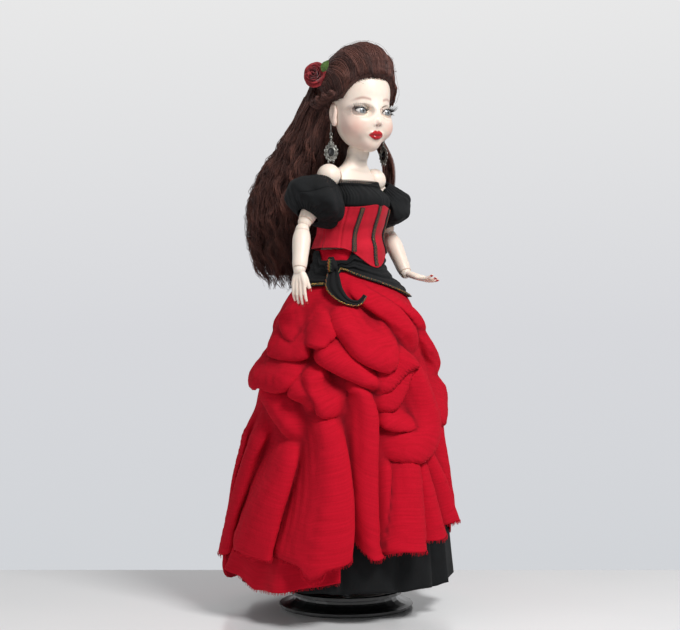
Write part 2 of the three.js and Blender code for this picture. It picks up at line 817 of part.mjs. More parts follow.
function wigCrown() {
  const far = cutterReach;
  const openFace = sidePrism([[-far, hairlineHeight + hairLift * 2], [-craniumHalfDepth, hairlineHeight],
    [-craniumHalfDepth * 0.75, mix(hairlineHeight, templeHeight, 0.15)],
    [-templeForward, templeHeight], [-earHalfDepth * 2, earHeight + earHalfHeight * 1.7],
    [earBack + earHalfDepth, earHeight + earHalfHeight * 1.5],
    [earBack + earHalfDepth * 1.3, earHeight - earHalfHeight], [napeBack, napeHeight],
    [far, napeHeight], [far, napeHeight - far], [-far, napeHeight - far]], far);
  return joined([crownForm(0)], [headForm(clothGap), openFace]);
}

// The twisted roll of hair that runs round the back of the head from temple to temple; a form
// drawn with a clearance runs on past both ends
const twistSteps = 22;
const twistSides = 7;

function twistForm(lift) {
  const over = lift > 0 ? 1 : 0;
  const rings = [];
  for (let i = -over; i <= twistSteps + over; i += 1) {
    const share = i / twistSteps;
    const angle = mix(1.1, -0.1, share) * Math.PI;
    const belly = Math.max(Math.sin(Math.PI * share), 0);
    const middle = point(Math.cos(angle) * (craniumHalfWidth + hairLift),
      hairLift * 0.3 + Math.sin(angle) * (craniumHalfDepth + hairLift),
      twistHeight - belly * twistDrop);
    const outward = point(Math.cos(angle), Math.sin(angle), 0);
    const swell = twistRadius * (0.35 + 0.65 * belly ** 0.4);
    rings.push(ringOf(twistSides, (around) => {
      const lobe = 1 - (twistLobeDepth / twistRadius) * Math.cos(around + share * 14 * Math.PI);
      const reach = swell * lobe + lift;
      return middle.clone().addScaledVector(outward, Math.cos(around) * reach)
        .add(point(0, 0, Math.sin(around) * reach));
    }));
  }
  return loft(rings);
}

function hairTwist() {
  return joined([twistForm(0)], [crownForm(touchGap), headForm(clothGap)]);
}

// Loose lengths: shares from the top of the fall to its end
const fallWidthShares = [0.57, 0.68, 0.79, 0.88, 0.97, 1, 0.96, 0.81, 0.5];
const fallDepthShares = [0.5, 0.69, 0.75, 0.89, 1, 1, 0.88, 0.72, 0.39];
const fallBackShares = [0.3, 0.38, 0.53, 0.735, 0.91, 0.99, 1.025, 1.06, 1.11];

function longHair() {
  const rows = 10;
  const rings = [];
  for (let r = 0; r <= rows; r += 1) {
    const share = r / rows;
    const back = longHairBack * readShares(fallBackShares, share);
    const halfWidth = longHairHalfWidth * readShares(fallWidthShares, share);
    const halfDepth = longHairHalfDepth * readShares(fallDepthShares, share);
    const height = mix(longHairTop, longHairEnd, share);
    rings.push(ringOf(bodySides, (angle) => {
      const lock = 1 + (lockDepth / longHairHalfWidth) * Math.cos(5 * angle + share * 9);
      return point(Math.cos(angle) * halfWidth * lock
        + back * Math.sin(radians(headTurnDegrees)), Math.sin(angle) * halfDepth * lock + back, height);
    }));
  }
  return joined([loft(rings)], [crownForm(touchGap), headForm(clothGap), twistForm(clothGap),
    roseForm(touchGap)]);
}

const roseMiddle = point(-roseSide, roseBack, roseHeight);

function roseForm(lift) {
  const wave = (p) => {
    const part = p.clone().sub(roseMiddle);
    const turn = Math.atan2(part.z, part.y);
    const petals = Math.cos(5 * turn + petalTwist * (part.x / roseRadius));
    return part.divide(point(0.72, 1, 1)).length() - lift - roseRadius * (0.93 + 0.07 * petals);
  };
  return starBody(roseMiddle, wave, 15, 9, 2 * roseRadius);
}

function rose() {
  return joined([roseForm(0)], [crownForm(touchGap), twistForm(touchGap)]);
}

// A pointed leaf that lies between the flower and the hair
function roseLeaf() {
  const steps = 6;
  const rings = [];
  const root = roseMiddle.clone().add(point(roseRadius * 0.2, -roseRadius * 0.85, -roseRadius * 0.3));
  for (let i = 0; i <= steps; i += 1) {
    const share = i / steps;
    const halfWidth = leafHalfWidth * Math.max(Math.sin(Math.PI * share ** 0.8), 0.12);
    const middle = root.clone().add(point(leafLength * 0.1 * share, -leafLength * 0.35 * share,
      leafLength * share));
    const half = leafThickness / 2;
    rings.push([middle.clone().add(point(-half, -halfWidth, halfWidth * -0.2)),
      middle.clone().add(point(half, -halfWidth, halfWidth * -0.2)),
      middle.clone().add(point(half + half, 0, 0)),
      middle.clone().add(point(half, halfWidth, 0)), middle.clone().add(point(-half, halfWidth, 0)),
      middle.clone()]);
  }
  return joined([loft(rings)], [roseForm(touchGap), crownForm(touchGap)]);
}

piece('wig_crown', wigCrown(), hair, head);
piece('hair_twist', hairTwist(), hair, head);
piece('long_hair', longHair(), hair, head);
piece('rose', rose(), petal, head);
piece('rose_leaf', roseLeaf(), leafGreen, head);

// Earrings: an ear wire, a filigree drop and a black stone on each side
const wireAt = (side) => point(side * (earSide + earThickness * 0.5), earBack, earWireHeight);
const dropTop = earWireHeight - 4 * earWireReach;
const pendantMiddle = dropTop - dropLength + pendantHeight / 2;

function earWire(side) {
  const hole = wireAt(side);
  const out = point(side * earringOut, 0, 0);
  return bar([hole.clone().addScaledVector(out, -0.8), hole.clone().addScaledVector(out, 0.6),
    hole.clone().add(out).add(point(0, 0, -earWireReach * 0.6)),
    hole.clone().add(out).setZ(dropTop + 0.2 * earBeadRadius + touchGap)], earWireRadius, 8, 4);
}

function ringForm(middle, halfWidth, halfHeight, wire, turn = 0) {
  return new THREE.TorusGeometry(halfHeight - wire, wire, 4, 10)
    .scale((halfWidth - wire) / (halfHeight - wire), 1, 1).rotateX(Math.PI / 2).rotateZ(turn)
    .translate(middle.x, middle.y, middle.z);
}

function earringDrop(side) {
  const hole = wireAt(side);
  const at = (aside, height) => point(hole.x + side * earringOut, hole.y + aside, height);
  const adds = [
    ringForm(at(0, dropTop - earBeadRadius), earBeadRadius, earBeadRadius * 1.2, filigreeRadius,
      Math.PI / 2),
    ball(at(0, dropTop - 3 * earBeadRadius), earBeadRadius, 7),
    rod(at(0, dropTop - 3 * earBeadRadius), at(0, pendantMiddle + pendantHeight * 0.45),
      filigreeRadius, wireSides),
    ringForm(at(0, pendantMiddle), pendantHalfWidth, pendantHeight / 2, filigreeRadius, Math.PI / 2),
    ringForm(at(0, pendantMiddle), earStoneRadius + 3 * filigreeRadius, earStoneRadius + 3.6
      * filigreeRadius, filigreeRadius * 1.2, Math.PI / 2),
  ];
  for (let i = 0; i < earringSpokes; i += 1) {
    const angle = ((i + 0.5) / earringSpokes) * 2 * Math.PI;
    const near = earStoneRadius + 2.2 * filigreeRadius;
    adds.push(rod(at(Math.cos(angle) * near, pendantMiddle + Math.sin(angle) * near),
      at(Math.cos(angle) * (pendantHalfWidth - filigreeRadius), pendantMiddle
        + Math.sin(angle) * (pendantHeight / 2 - filigreeRadius)), filigreeRadius, 4));
  }
  return joined(adds);
}

function earStone(side) {
  const hole = wireAt(side);
  return ball(point(0, 0, 0), earStoneRadius, 9).scale(0.5, 1, 1.15)
    .translate(hole.x + side * earringOut, hole.y, pendantMiddle);
}

for (const [name, side] of Object.entries(sides)) {
  piece(`${name}_ear_wire`, earWire(side), silver, head);
  piece(`${name}_earring_drop`, earringDrop(side), silver, head);
  piece(`${name}_earring_stone`, earStone(side), onyx, head);
}

// Arms
const arms = {
  right: {
    side: -1,
    elbow: point(-rightElbowSide, -rightElbowForward, shoulderHeight - rightElbowDrop),
    wrist: point(-rightWristSide, -rightWristForward, shoulderHeight - rightWristDrop),
    palm: point(-0.12, -0.06, -1),
    spread: point(0.25, -1, 0),
  },
  left: {
    side: 1,
    elbow: point(leftElbowSide, -leftElbowForward, shoulderHeight - leftElbowDrop),
    wrist: point(leftWristSide, -leftWristForward, shoulderHeight - leftWristDrop),
    palm: point(0.33, -0.88, -0.36),
    spread: point(-0.9, -0.35, 0.1),
  },
};

// A limb between two places: rings at even steps, with radii by shares
function limb(from, to, radius, endRadius, shares, sides = limbSides) {
  const along = to.clone().sub(from);
  return loft(shares.map((share, i) => {
    const place = i / (shares.length - 1);
    return crossRing(from.clone().addScaledVector(along, place), along,
      mix(radius, endRadius, place) * share, sides);
  }));
}

const armShares = [0.86, 1, 1.03, 0.94, 0.98];
const forearmShares = [0.97, 1.06, 1.02, 0.94, 1];

// The two ball middles of a double joint, either side of its own middle
function jointBalls(middle, above, below, spacing) {
  const along = below.clone().sub(above).normalize();
  return [middle.clone().addScaledVector(along, -spacing / 2),
    middle.clone().addScaledVector(along, spacing / 2), along];
}

function upperArm(arm) {
  const shoulder = shoulderAt(arm.side);
  const [upper] = jointBalls(arm.elbow, shoulder, arm.wrist, elbowSpacing);
  const along = upper.clone().sub(shoulder).normalize();
  const end = upper.clone().addScaledVector(along, -elbowLip);
  const start = shoulder.clone().addScaledVector(along, shoulderBallRadius * 0.55);
  return joined([ball(shoulder, shoulderBallRadius, bigBallSides),
    limb(start, end, upperArmRadius, forearmTopRadius, armShares)],
  [socket(upper, elbowBallRadius),
    rod(shoulder, upper, limbBoreRadius, boreSides),
    rod(shoulder, shoulder.clone().setX(0), limbBoreRadius, boreSides)]);
}

function elbowLink(arm) {
  const shoulder = shoulderAt(arm.side);
  const [upper, lower, along] = jointBalls(arm.elbow, shoulder, arm.wrist, elbowSpacing);
  const far = along.clone().multiplyScalar(2 * elbowBallRadius);
  return joined([ball(upper, elbowBallRadius), ball(lower, elbowBallRadius),
    rod(upper, lower, elbowNeckRadius)],
  [rod(upper.clone().sub(far), lower.clone().add(far), limbBoreRadius * 0.7, boreSides)]);
}

function forearm(arm) {
  const shoulder = shoulderAt(arm.side);
  const [, lower] = jointBalls(arm.elbow, shoulder, arm.wrist, elbowSpacing);
  const along = arm.wrist.clone().sub(lower).normalize();
  const start = lower.clone().addScaledVector(along, elbowLip);
  const end = arm.wrist.clone().addScaledVector(along, -wristLip);
  return joined([limb(start, end, forearmTopRadius, forearmEndRadius, forearmShares)],
    [socket(lower, elbowBallRadius), socket(arm.wrist, wristBallRadius),
      rod(lower, arm.wrist, limbBoreRadius, boreSides)]);
}

// The wrist's frame: up the forearm, and the pin's direction across it
function wristFrame(arm) {
  const [, lower] = jointBalls(arm.elbow, shoulderAt(arm.side), arm.wrist, elbowSpacing);
  const up = lower.sub(arm.wrist).normalize();
  const pin = arm.spread.clone().cross(up).normalize();
  return { up, pin };
}

function wristHook(arm) {
  const { up, pin } = wristFrame(arm);
  const ring = new THREE.TorusGeometry(wristHookRadius, wristWireRadius, 4, 10);
  ring.applyQuaternion(new THREE.Quaternion().setFromUnitVectors(point(0, 0, 1), pin))
    .translate(arm.wrist.x, arm.wrist.y, arm.wrist.z);
  const at = (share, aside) => arm.wrist.clone().addScaledVector(up, wristHookLength * share)
    .addScaledVector(up.clone().cross(pin), aside * wristHookRadius);
  const stem = bar([at(wristHookRadius / wristHookLength, 0), at(0.5, 0), at(0.8, 0.5),
    at(1, 0), at(0.85, -0.6), at(0.75, -0.5)], wristWireRadius, 9, 4);
  return joined([ring, stem]);
}

const fingerSpreadShares = [-0.78, -0.27, 0.25, 0.74];
const fingerLengthShares = [0.93, 1.08, 1, 0.8];
const fingerShares = [1, 1, 0.84, 0.45];

function hand(arm) {
  const { up, pin } = wristFrame(arm);
  const along = arm.palm.clone().normalize();
  const across = arm.spread.clone().addScaledVector(along, -arm.spread.dot(along)).normalize();
  const through = along.clone().cross(across).multiplyScalar(arm.side);
  const at = (down, aside, out) => arm.wrist.clone().addScaledVector(along, down)
    .addScaledVector(across, aside).addScaledVector(through, out);
  const palmRing = (down, width, thick) => ringOf(8, (angle) => at(down,
    Math.cos(angle) * width * palmHalfWidth, Math.sin(angle) * thick * palmHalfThickness));
  const palm = loft([palmRing(wristBallRadius * 0.3, 0.55, 1), palmRing(palmLength * 0.35, 0.72, 1.05),
    palmRing(palmLength * 0.7, 1, 1), palmRing(palmLength, 0.94, 0.75)]);
  const fingers = fingerSpreadShares.map((aside, i) => {
    const length = fingerLength * fingerLengthShares[i];
    const place = (share) => at(palmLength * 0.92 + length * share,
      aside * palmHalfWidth * (1 + 0.25 * share), -share * share * fingerLength * 0.28);
    return loft(fingerShares.map((thick, j) => {
      const share = j / (fingerShares.length - 1);
      return crossRing(place(share), place(share + 0.1).sub(place(share)), fingerRadius * thick, 5);
    }));
  });
  const thumbPlace = (share) => at(palmLength * mix(0.28, 1.05, share),
    -palmHalfWidth * mix(0.5, 1.32, share ** 0.7), -palmHalfThickness * mix(0.2, 1.1, share));
  const thumb = loft(fingerShares.map((thick, j) => {
    const share = j / (fingerShares.length - 1);
    return crossRing(thumbPlace(share), thumbPlace(share + 0.1).sub(thumbPlace(share)),
      fingerRadius * 1.2 * thick, 5);
  }));
  const pocketTop = arm.wrist.clone().addScaledVector(up, wristBallRadius * 1.2);
  const body = solidOf(joined([ball(arm.wrist, wristBallRadius), palm, thumb, ...fingers],
    [ball(arm.wrist, pocketRadius, 8),
      rod(arm.wrist, pocketTop, pocketRadius * 0.9, 8, pocketRadius * 1.25)]));
  const reach = pin.clone().multiplyScalar(wristBallRadius * 0.86);
  return geometryOf(body.add(solidOf(rod(arm.wrist.clone().sub(reach), arm.wrist.clone().add(reach),
    wristPinRadius, 4))));
}

for (const [name, arm] of Object.entries(arms)) {
  piece(`${name}_upper_arm`, upperArm(arm), skin);
  piece(`${name}_elbow`, elbowLink(arm), skin);
  piece(`${name}_forearm`, forearm(arm), skin);
  piece(`${name}_wrist_hook`, wristHook(arm), steel);
  piece(`${name}_hand`, hand(arm), skin);
}

// Legs
const kneeAt = (side) => point(side * hipSide, hipBack, kneeHeight);
const ankleAt = (side) => point(side * hipSide, hipBack, ankleHeight);
const thighShares = [0.88, 1.03, 1.02, 0.97, 0.96];
const calfShares = [0.96, 1.06, 1.08, 0.9, 1];

function thigh(side) {
  const hip = hipAt(side);
  const knee = kneeAt(side).add(point(0, 0, kneeSpacing / 2));
  return joined([ball(hip, hipBallRadius, bigBallSides),
    limb(hip.clone().add(point(0, 0, -thighDrop)), knee.clone().add(point(0, 0, kneeLip)),
      thighRadius, calfTopRadius, thighShares)],
  [socket(knee, kneeBallRadius), rod(hip, knee, limbBoreRadius, boreSides),
    rod(hip, point(0, 0, hipHeight + hipBallRadius * 1.4), limbBoreRadius, boreSides)]);
}

function kneeLink(side) {
  const half = point(0, 0, kneeSpacing / 2);
  const upper = kneeAt(side).add(half);
  const lower = kneeAt(side).sub(half);
  const far = point(0, 0, 2 * kneeBallRadius);
  return joined([ball(upper, kneeBallRadius), ball(lower, kneeBallRadius),
    rod(upper, lower, kneeNeckRadius)],
  [rod(lower.clone().sub(far), upper.clone().add(far), limbBoreRadius, boreSides)]);
}

function calf(side) {
  const knee = kneeAt(side).add(point(0, 0, -kneeSpacing / 2));
  const ankle = ankleAt(side);
  return joined([limb(knee.clone().add(point(0, 0, -kneeLip)), ankle.clone().add(point(0, 0, ankleLip)),
    calfTopRadius, ankleRadius, calfShares)],
  [socket(knee, kneeBallRadius), socket(ankle, ankleBallRadius),
    rod(knee, ankle, limbBoreRadius, boreSides)]);
}

const footWidthShares = [0.5, 0.72, 0.82, 0.98, 1, 0.62];
const footThickShares = [0.8, 1, 1, 0.8, 0.58, 0.4];
const footLiftShares = [0.36, 0.34, 0.46, 0.72, 0.92, 1];

function foot(side) {
  const ankle = ankleAt(side);
  const rings = footWidthShares.map((width, i) => {
    const share = i / (footWidthShares.length - 1);
    const y = mix(footLength * 0.22, -footLength * 0.78, share);
    return ringOf(8, (angle) => ankle.clone().add(point(
      Math.cos(angle) * width * footHalfWidth,
      y, Math.sin(angle) * footThickShares[i] * footHalfThickness
        - footLiftShares[i] * (footDrop - footHalfThickness),
    )));
  });
  return joined([ball(ankle, ankleBallRadius), loft(rings)],
    [rod(ankle, ankle.clone().add(point(0, 0, 2 * ankleBallRadius)), limbBoreRadius * 0.8, boreSides)]);
}

for (const [name, side] of Object.entries(sides)) {
  piece(`${name}_thigh`, thigh(side), skin);
  piece(`${name}_knee`, kneeLink(side), skin);
  piece(`${name}_calf`, calf(side), skin);
  piece(`${name}_foot`, foot(side), skin);
}

// Clothes
const front = -Math.PI / 2;

// A wall of cloth: a place for each angle and each share of the way down
function cloth(rows, place, thickness, count = clothSides) {
  const stack = (lift) => Array.from({ length: rows + 1 }, (_, r) => ringOf(count,
    (angle) => place(angle, r / rows, lift)));
  return wall(stack(thickness), stack(0));
}

const bodiceLift = clothGap;
const laceLift = bodiceLift + bodiceThickness + touchGap;

// The heights of the torso's own sections between two others, with both ends
function torsoHeights(high, low) {
  const step = (neckBallHeight - waistHeight) / (torsoWidthShares.length - 1);
  const inside = torsoWidthShares.map((_, i) => waistHeight + i * step)
    .filter((height) => height < high && height > low).reverse();
  return [high, ...inside, low];
}

function bodice() {
  const heights = torsoHeights(bodiceTop, bodiceBottom);
  const rows = heights.length - 1;
  return joined([cloth(rows, (angle, share, out) => onTorso(angle,
    heights[Math.round(share * rows)], bodiceLift + out), bodiceThickness)],
  Object.values(sides).map(armSweep));
}

// A scalloped lace edge that stands up from the bodice, over the chest or the back
function neckLace(middle, halfAngle) {
  const steps = 16;
  const rings = [];
  for (let i = 0; i <= steps; i += 1) {
    const angle = middle + halfAngle * mix(-1, 1, i / steps);
    const top = bodiceTop + laceHeight * 0.5 + laceScallop * (i % 2);
    rings.push([[0, 0], [0, 1], [1, 1], [1, 0]].map(([high, out]) => onTorso(angle,
      mix(bodiceTop - laceHeight * 0.5, top, high), laceLift + out * laceThickness)));
  }
  return joined([loft(rings)], Object.values(sides).map(armSweep));
}

// Skirts: how far the cloth has flared at even steps from the waist to the petticoat's hem
const petticoatHold = 1.15;
const flareShares = [0, 0.06, 0.28, 0.43, 0.51, 0.57, 0.63, 0.69, 0.735, 0.77, 0.8, 0.83, 0.855,
  0.88, 0.9, 0.92, 0.94, 0.955, 0.97, 0.985, 1];

function skirtDrop(height) {
  return (skirtTop - height) / (skirtTop - petticoatHem);
}

function onSkirt(angle, height, lift, hold = 1) {
  const waist = torsoSection(waistHeight);
  const flare = readShares(flareShares, skirtDrop(height)) ** hold;
  const halfWidth = mix(waist.halfWidth + clothGap, petticoatHemRadius, flare);
  const halfDepth = mix(waist.halfDepth + clothGap, petticoatHemRadius, flare);
  return point(Math.cos(angle) * (halfWidth + lift), Math.sin(angle) * (halfDepth + lift)
    - waist.forward * (1 - flare), height);
}

function petticoatPleatAt(angle, height) {
  return petticoatPleat * Math.max(skirtDrop(height), 0) ** 2 * Math.cos(10 * angle);
}

// Near the waist the rows of all skirts lie at the flare's own heights, so that they nest.
const flareHeight = (row) => mix(skirtTop, petticoatHem, row / (flareShares.length - 1));
const nestedRows = 5;

// A row's height: at the flare's own heights first, and then shared out evenly down to the hem
function skirtRowHeight(row, rows, top, hem) {
  if (row === 0) return top;
  if (row <= nestedRows) return flareHeight(row);
  return mix(flareHeight(nestedRows), hem, (row - nestedRows) / (rows - nestedRows));
}

const petticoatRows = 8;
const overskirtRows = 15;

function petticoat() {
  return cloth(petticoatRows, (angle, share, out) => {
    const height = skirtRowHeight(Math.round(share * petticoatRows), petticoatRows, skirtTop,
      petticoatHem);
    return onSkirt(angle, height, petticoatPleatAt(angle, height) + out, petticoatHold);
  }, petticoatThickness);
}

// The overskirt hangs lowest at the back, and its poufs stand in two rows
function overskirtHem(angle) {
  return mix(overskirtFrontHem, overskirtBackHem, THREE.MathUtils.smoothstep(Math.sin(angle), 0.6, 1));
}

function poufAt(angle, height) {
  const row = (middle, half) => Math.exp(-(((height - middle) / half) ** 2));
  const upper = row(upperPoufHeight, upperPoufHalfHeight) * (0.7 + 0.3 * Math.cos(7 * angle + 0.6));
  const lower = row(lowerPoufHeight, lowerPoufHalfHeight) * (0.35 + 0.3 * Math.cos(7 * angle + 3.6));
  return poufReach * (upper + lower);
}

function overskirtLift(angle, height) {
  const drop = Math.max(skirtDrop(height), 0);
  const train = overskirtTrain * drop ** 2 * Math.max(Math.cos(angle - radians(105)), 0);
  const flutes = petticoatPleat * drop ** 2 * (1 + 0.8 * Math.cos(10 * angle));
  return petticoatThickness + skirtGap + flutes + poufAt(angle, height) + train;
}

function overskirt() {
  return cloth(overskirtRows, (angle, share, out) => {
    const height = skirtRowHeight(Math.round(share * overskirtRows), overskirtRows, overskirtTop,
      overskirtHem(angle));
    return onSkirt(angle, height, overskirtLift(angle, height) + out);
  }, overskirtThickness);
}

// Sash: it lies on the overskirt and dips towards the doll's left front
const sashDipAngle = radians(-60);

function onSash(angle, height, out) {
  return onSkirt(angle, height, overskirtLift(angle, height) + overskirtThickness + clothGap + out);
}

function hipSash() {
  const low = (angle) => flareHeight(2) - sashDip * (0.55 + 0.45 * Math.cos(angle - sashDipAngle));
  const heights = [() => sashTop, () => overskirtTop, () => flareHeight(1),
    () => flareHeight(1.5), () => flareHeight(2), low];
  const rows = heights.length - 1;
  const fold = (angle, share) => sashFold * (0.5 + 0.5 * Math.cos(share * 4 * Math.PI + 2 * angle))
    * share;
  return cloth(rows, (angle, share, out) => onSash(angle, heights[Math.round(share * rows)](angle),
    out + (out > 0 ? fold(angle, share) : 0)), sashThickness);
}

const sashOuter = sashThickness + sashFold;

// Corset: over the bodice, and over the sash where its front runs down to a point
function corsetHeight(angle, share) {
  const dip = Math.max(Math.cos(angle - front), 0) ** 6;
  return mix(corsetTop, mix(corsetSide, corsetPoint, dip), share);
}

function onCorset(angle, height, out) {
  const low = onSash(angle, height, sashThickness + sashFold * 0.5 + touchGap + out);
  const high = onTorso(angle, height, laceLift + out);
  const share = THREE.MathUtils.smoothstep(height, sashTop, mix(sashTop, corsetTop, 0.4));
  return low.lerp(high, share);
}

const corsetRows = 5;

function corset() {
  return cloth(corsetRows, (angle, share, out) => onCorset(angle, corsetHeight(angle, share), out),
    corsetThickness);
}

function corsetTrim(topDegrees, bottomDegrees) {
  const rings = [];
  for (let r = 0; r <= corsetRows; r += 1) {
    const share = mix(0.03, 0.97, r / corsetRows);
    const middle = radians(mix(topDegrees, bottomDegrees, share));
    const half = trimWidth / 2 / chestHalfWidth;
    const lift = corsetThickness + touchGap;
    rings.push([[-1, 0], [1, 0], [1, 1], [0, 1.2], [-1, 1]].map(([aside, out]) => onCorset(
      middle + aside * half, corsetHeight(middle, share), lift + out * trimThickness,
    )));
  }
  return loft(rings);
}

const knotAngle = radians(199);
const knotHeight = mix(sashTop, flareHeight(2), 0.36);

function sashKnot() {
  const middle = onSash(knotAngle, knotHeight, sashOuter + touchGap + knotRadius * 0.62);
  const field = (p) => {
    const part = p.clone().sub(middle);
    const turn = Math.atan2(part.z, part.y);
    return part.length() - knotRadius * (0.62 + 0.22 * Math.cos(turn * 2 + 0.7) ** 2);
  };
  return starBody(middle, field, 12, 8, 2 * knotRadius);
}

function sashTail() {
  const steps = 8;
  const rings = [];
  for (let i = 0; i <= steps; i += 1) {
    const share = i / steps;
    const middle = knotAngle + mix(knotRadius / sleeveInset, 0.52, share);
    const height = knotHeight - tailDrop * share ** 1.1;
    const half = (tailWidth / 2) * mix(0.55, 1, share);
    const lift = sashOuter + touchGap;
    rings.push([[-1, 0], [1, 0], [1, 1], [-1, 1]].map(([aside, out]) => onSash(
      middle + aside * (half * 0.4) / sleeveInset, height + aside * half * 0.9,
      lift + out * tailThickness,
    )));
  }
  return loft(rings);
}

// Puffed sleeves, gathered at both ends, each round its own upper arm
const sleeveShares = [0.55, 0.86, 1, 0.97, 0.8, 0.52];

function sleeve(arm) {
  const shoulder = shoulderAt(arm.side);
  const [upper] = jointBalls(arm.elbow, shoulder, arm.wrist, elbowSpacing);
  const along = upper.clone().sub(shoulder).normalize();
  const inner = upperArmRadius * 1.03 + clothGap;
  const stack = (radiusOf) => sleeveShares.map((share, i) => {
    const middle = shoulder.clone().addScaledVector(along,
      mix(sleeveStart, sleeveEnd, i / (sleeveShares.length - 1)));
    const round = crossRing(middle, along, 1, 16);
    return round.map((p, j) => p.sub(middle).multiplyScalar(radiusOf(share, j)).add(middle));
  });
  const puff = wall(stack((share, j) => share * sleeveRadius + sleevePleat * Math.cos(j * Math.PI)),
    stack(() => inner));
  const far = point(sleeveInset, cutterReach, shoulderHeight + cutterReach);
  return joined([puff], [block(far.clone().negate(), far)]);
}

piece('bodice', bodice(), blackCloth);
piece('front_lace', neckLace(front, radians(62)), blackCloth);
piece('back_lace', neckLace(-front, radians(62)), blackCloth);
piece('corset', corset(), redCloth);
piece('corset_trim_center', corsetTrim(-90, -90), braid);
piece('corset_trim_right', corsetTrim(-122, -126), braid);
piece('corset_trim_left', corsetTrim(-58, -54), braid);
for (const [name, arm] of Object.entries(arms)) piece(`${name}_sleeve`, sleeve(arm), blackCloth);
piece('petticoat', petticoat(), blackCloth);
piece('overskirt', overskirt(), redCloth);
piece('hip_sash', hipSash(), blackCloth);
piece('sash_knot', sashKnot(), blackCloth);
piece('sash_tail', sashTail(), blackCloth);

export default doll;
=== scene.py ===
import bpy, math
import numpy as np
from mathutils import Vector, Matrix, noise


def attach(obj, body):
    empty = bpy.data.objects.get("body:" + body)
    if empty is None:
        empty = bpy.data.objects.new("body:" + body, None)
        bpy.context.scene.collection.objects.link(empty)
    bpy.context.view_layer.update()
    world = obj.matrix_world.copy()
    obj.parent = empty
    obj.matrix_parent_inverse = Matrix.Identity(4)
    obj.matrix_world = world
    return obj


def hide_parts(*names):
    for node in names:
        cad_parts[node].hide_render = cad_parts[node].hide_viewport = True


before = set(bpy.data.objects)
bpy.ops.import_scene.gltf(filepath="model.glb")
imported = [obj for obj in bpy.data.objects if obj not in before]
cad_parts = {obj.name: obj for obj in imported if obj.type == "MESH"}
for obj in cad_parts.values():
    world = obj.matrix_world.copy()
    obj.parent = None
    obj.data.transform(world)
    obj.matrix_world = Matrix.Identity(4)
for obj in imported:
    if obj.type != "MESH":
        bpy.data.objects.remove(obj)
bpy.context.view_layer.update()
bpy.ops.object.select_all(action='DESELECT')
mm = 0.001
print("frame loaded")

# Camera: a short telephoto at the height of the doll's lap
camera = {"height": 259.3, "distance": 1328, "aside": -5.4, "lens": 78.75, "toLens": (-0.743, -0.669)}


def makeCamera():
    back = Vector((*camera["toLens"], 0)).normalized()
    right = Vector((-back.y, back.x, 0))
    place = (back * camera["distance"] + right * camera["aside"]) * mm
    place.z = camera["height"] * mm
    bpy.ops.object.camera_add(location=place, rotation=(-back).to_track_quat('-Z', 'Y').to_euler())
    eye = bpy.context.object
    eye.data.lens = camera["lens"]
    eye.data.sensor_width = 36
    bpy.context.scene.camera = eye
    return back, right


toLens, lensRight = makeCamera()

# Tools that several pieces share


def linear(hexColour):
    parts = [int(hexColour[i:i + 2], 16) / 255 for i in (1, 3, 5)]
    return [c / 12.92 if c <= 0.04045 else ((c + 0.055) / 1.055) ** 2.4 for c in parts] + [1]


def addNode(tree, kind, inputs=None, **settings):
    node = tree.nodes.new(kind)
    for name, value in settings.items():
        setattr(node, name, value)
    for name, value in (inputs or {}).items():
        if isinstance(value, bpy.types.NodeSocket):
            tree.links.new(value, node.inputs[name])
        else:
            node.inputs[name].default_value = value
    return node


def newMaterial(name, **sockets):
    material = bpy.data.materials.new(name)
    material.use_nodes = True
    shader = material.node_tree.nodes["Principled BSDF"]
    for socket, value in sockets.items():
        shader.inputs[socket.replace("_", " ")].default_value = value
    return material, material.node_tree, shader


def colourRamp(tree, factor, stops, interpolation='LINEAR'):
    ramp = addNode(tree, "ShaderNodeValToRGB", {"Fac": factor})
    ramp.color_ramp.interpolation = interpolation
    elements = ramp.color_ramp.elements
    while len(elements) < len(stops):
        elements.new(0.5)
    for element, (place, colour) in zip(elements, stops):
        element.position = place
        element.color = linear(colour)
    return ramp.outputs["Color"]


def mixColours(tree, factor, first, second, blend='MIX'):
    node = addNode(tree, "ShaderNodeMix", {}, data_type='RGBA', blend_type=blend)
    for socket, value in ((node.inputs[0], factor), (node.inputs[6], first), (node.inputs[7], second)):
        if isinstance(value, bpy.types.NodeSocket):
            tree.links.new(value, socket)
        else:
            socket.default_value = value
    return node.outputs[2]


def attributeOf(tree, name):
    return addNode(tree, "ShaderNodeAttribute", {}, attribute_name=name).outputs["Fac"]


def bumpFrom(tree, shader, height, distance, strength=1.0):
    bump = addNode(tree, "ShaderNodeBump", {"Height": height, "Distance": distance, "Strength": strength})
    if shader.inputs["Normal"].is_linked:
        tree.links.new(shader.inputs["Normal"].links[0].from_socket, bump.inputs["Normal"])
    tree.links.new(bump.outputs["Normal"], shader.inputs["Normal"])


def eased(shares, places):  # a smooth reading of evenly spaced shares
    shares = np.asarray(shares, float)
    at = np.clip(np.asarray(places, float), 0, 1) * (len(shares) - 1)
    i = np.clip(np.floor(at).astype(int), 0, len(shares) - 2)
    t = at - i
    a, b = shares[np.maximum(i - 1, 0)], shares[i]
    c, d = shares[i + 1], shares[np.minimum(i + 2, len(shares) - 1)]
    return b + 0.5 * t * (c - a + t * (2 * a - 5 * b + 4 * c - d + t * (3 * (b - c) + d - a)))


def ease(low, high, x):  # a smooth step from 0 to 1
    t = np.clip((x - low) / (high - low), 0, 1)
    return t * t * (3 - 2 * t)


def bell(far, width):  # 1 in the middle, and next to nothing at twice the width
    return np.exp(-(far / width) ** 2)


def turnsRound(count):  # even angles round a closed form
    return np.arange(count) / count * 2 * np.pi


def clothGrid(around, rows):  # the angle and the share of the way down at each point of a closed sheet
    angle, share = turnsRound(around)[None], np.linspace(0, 1, rows)[:, None]
    return angle + 0 * share, share + 0 * angle


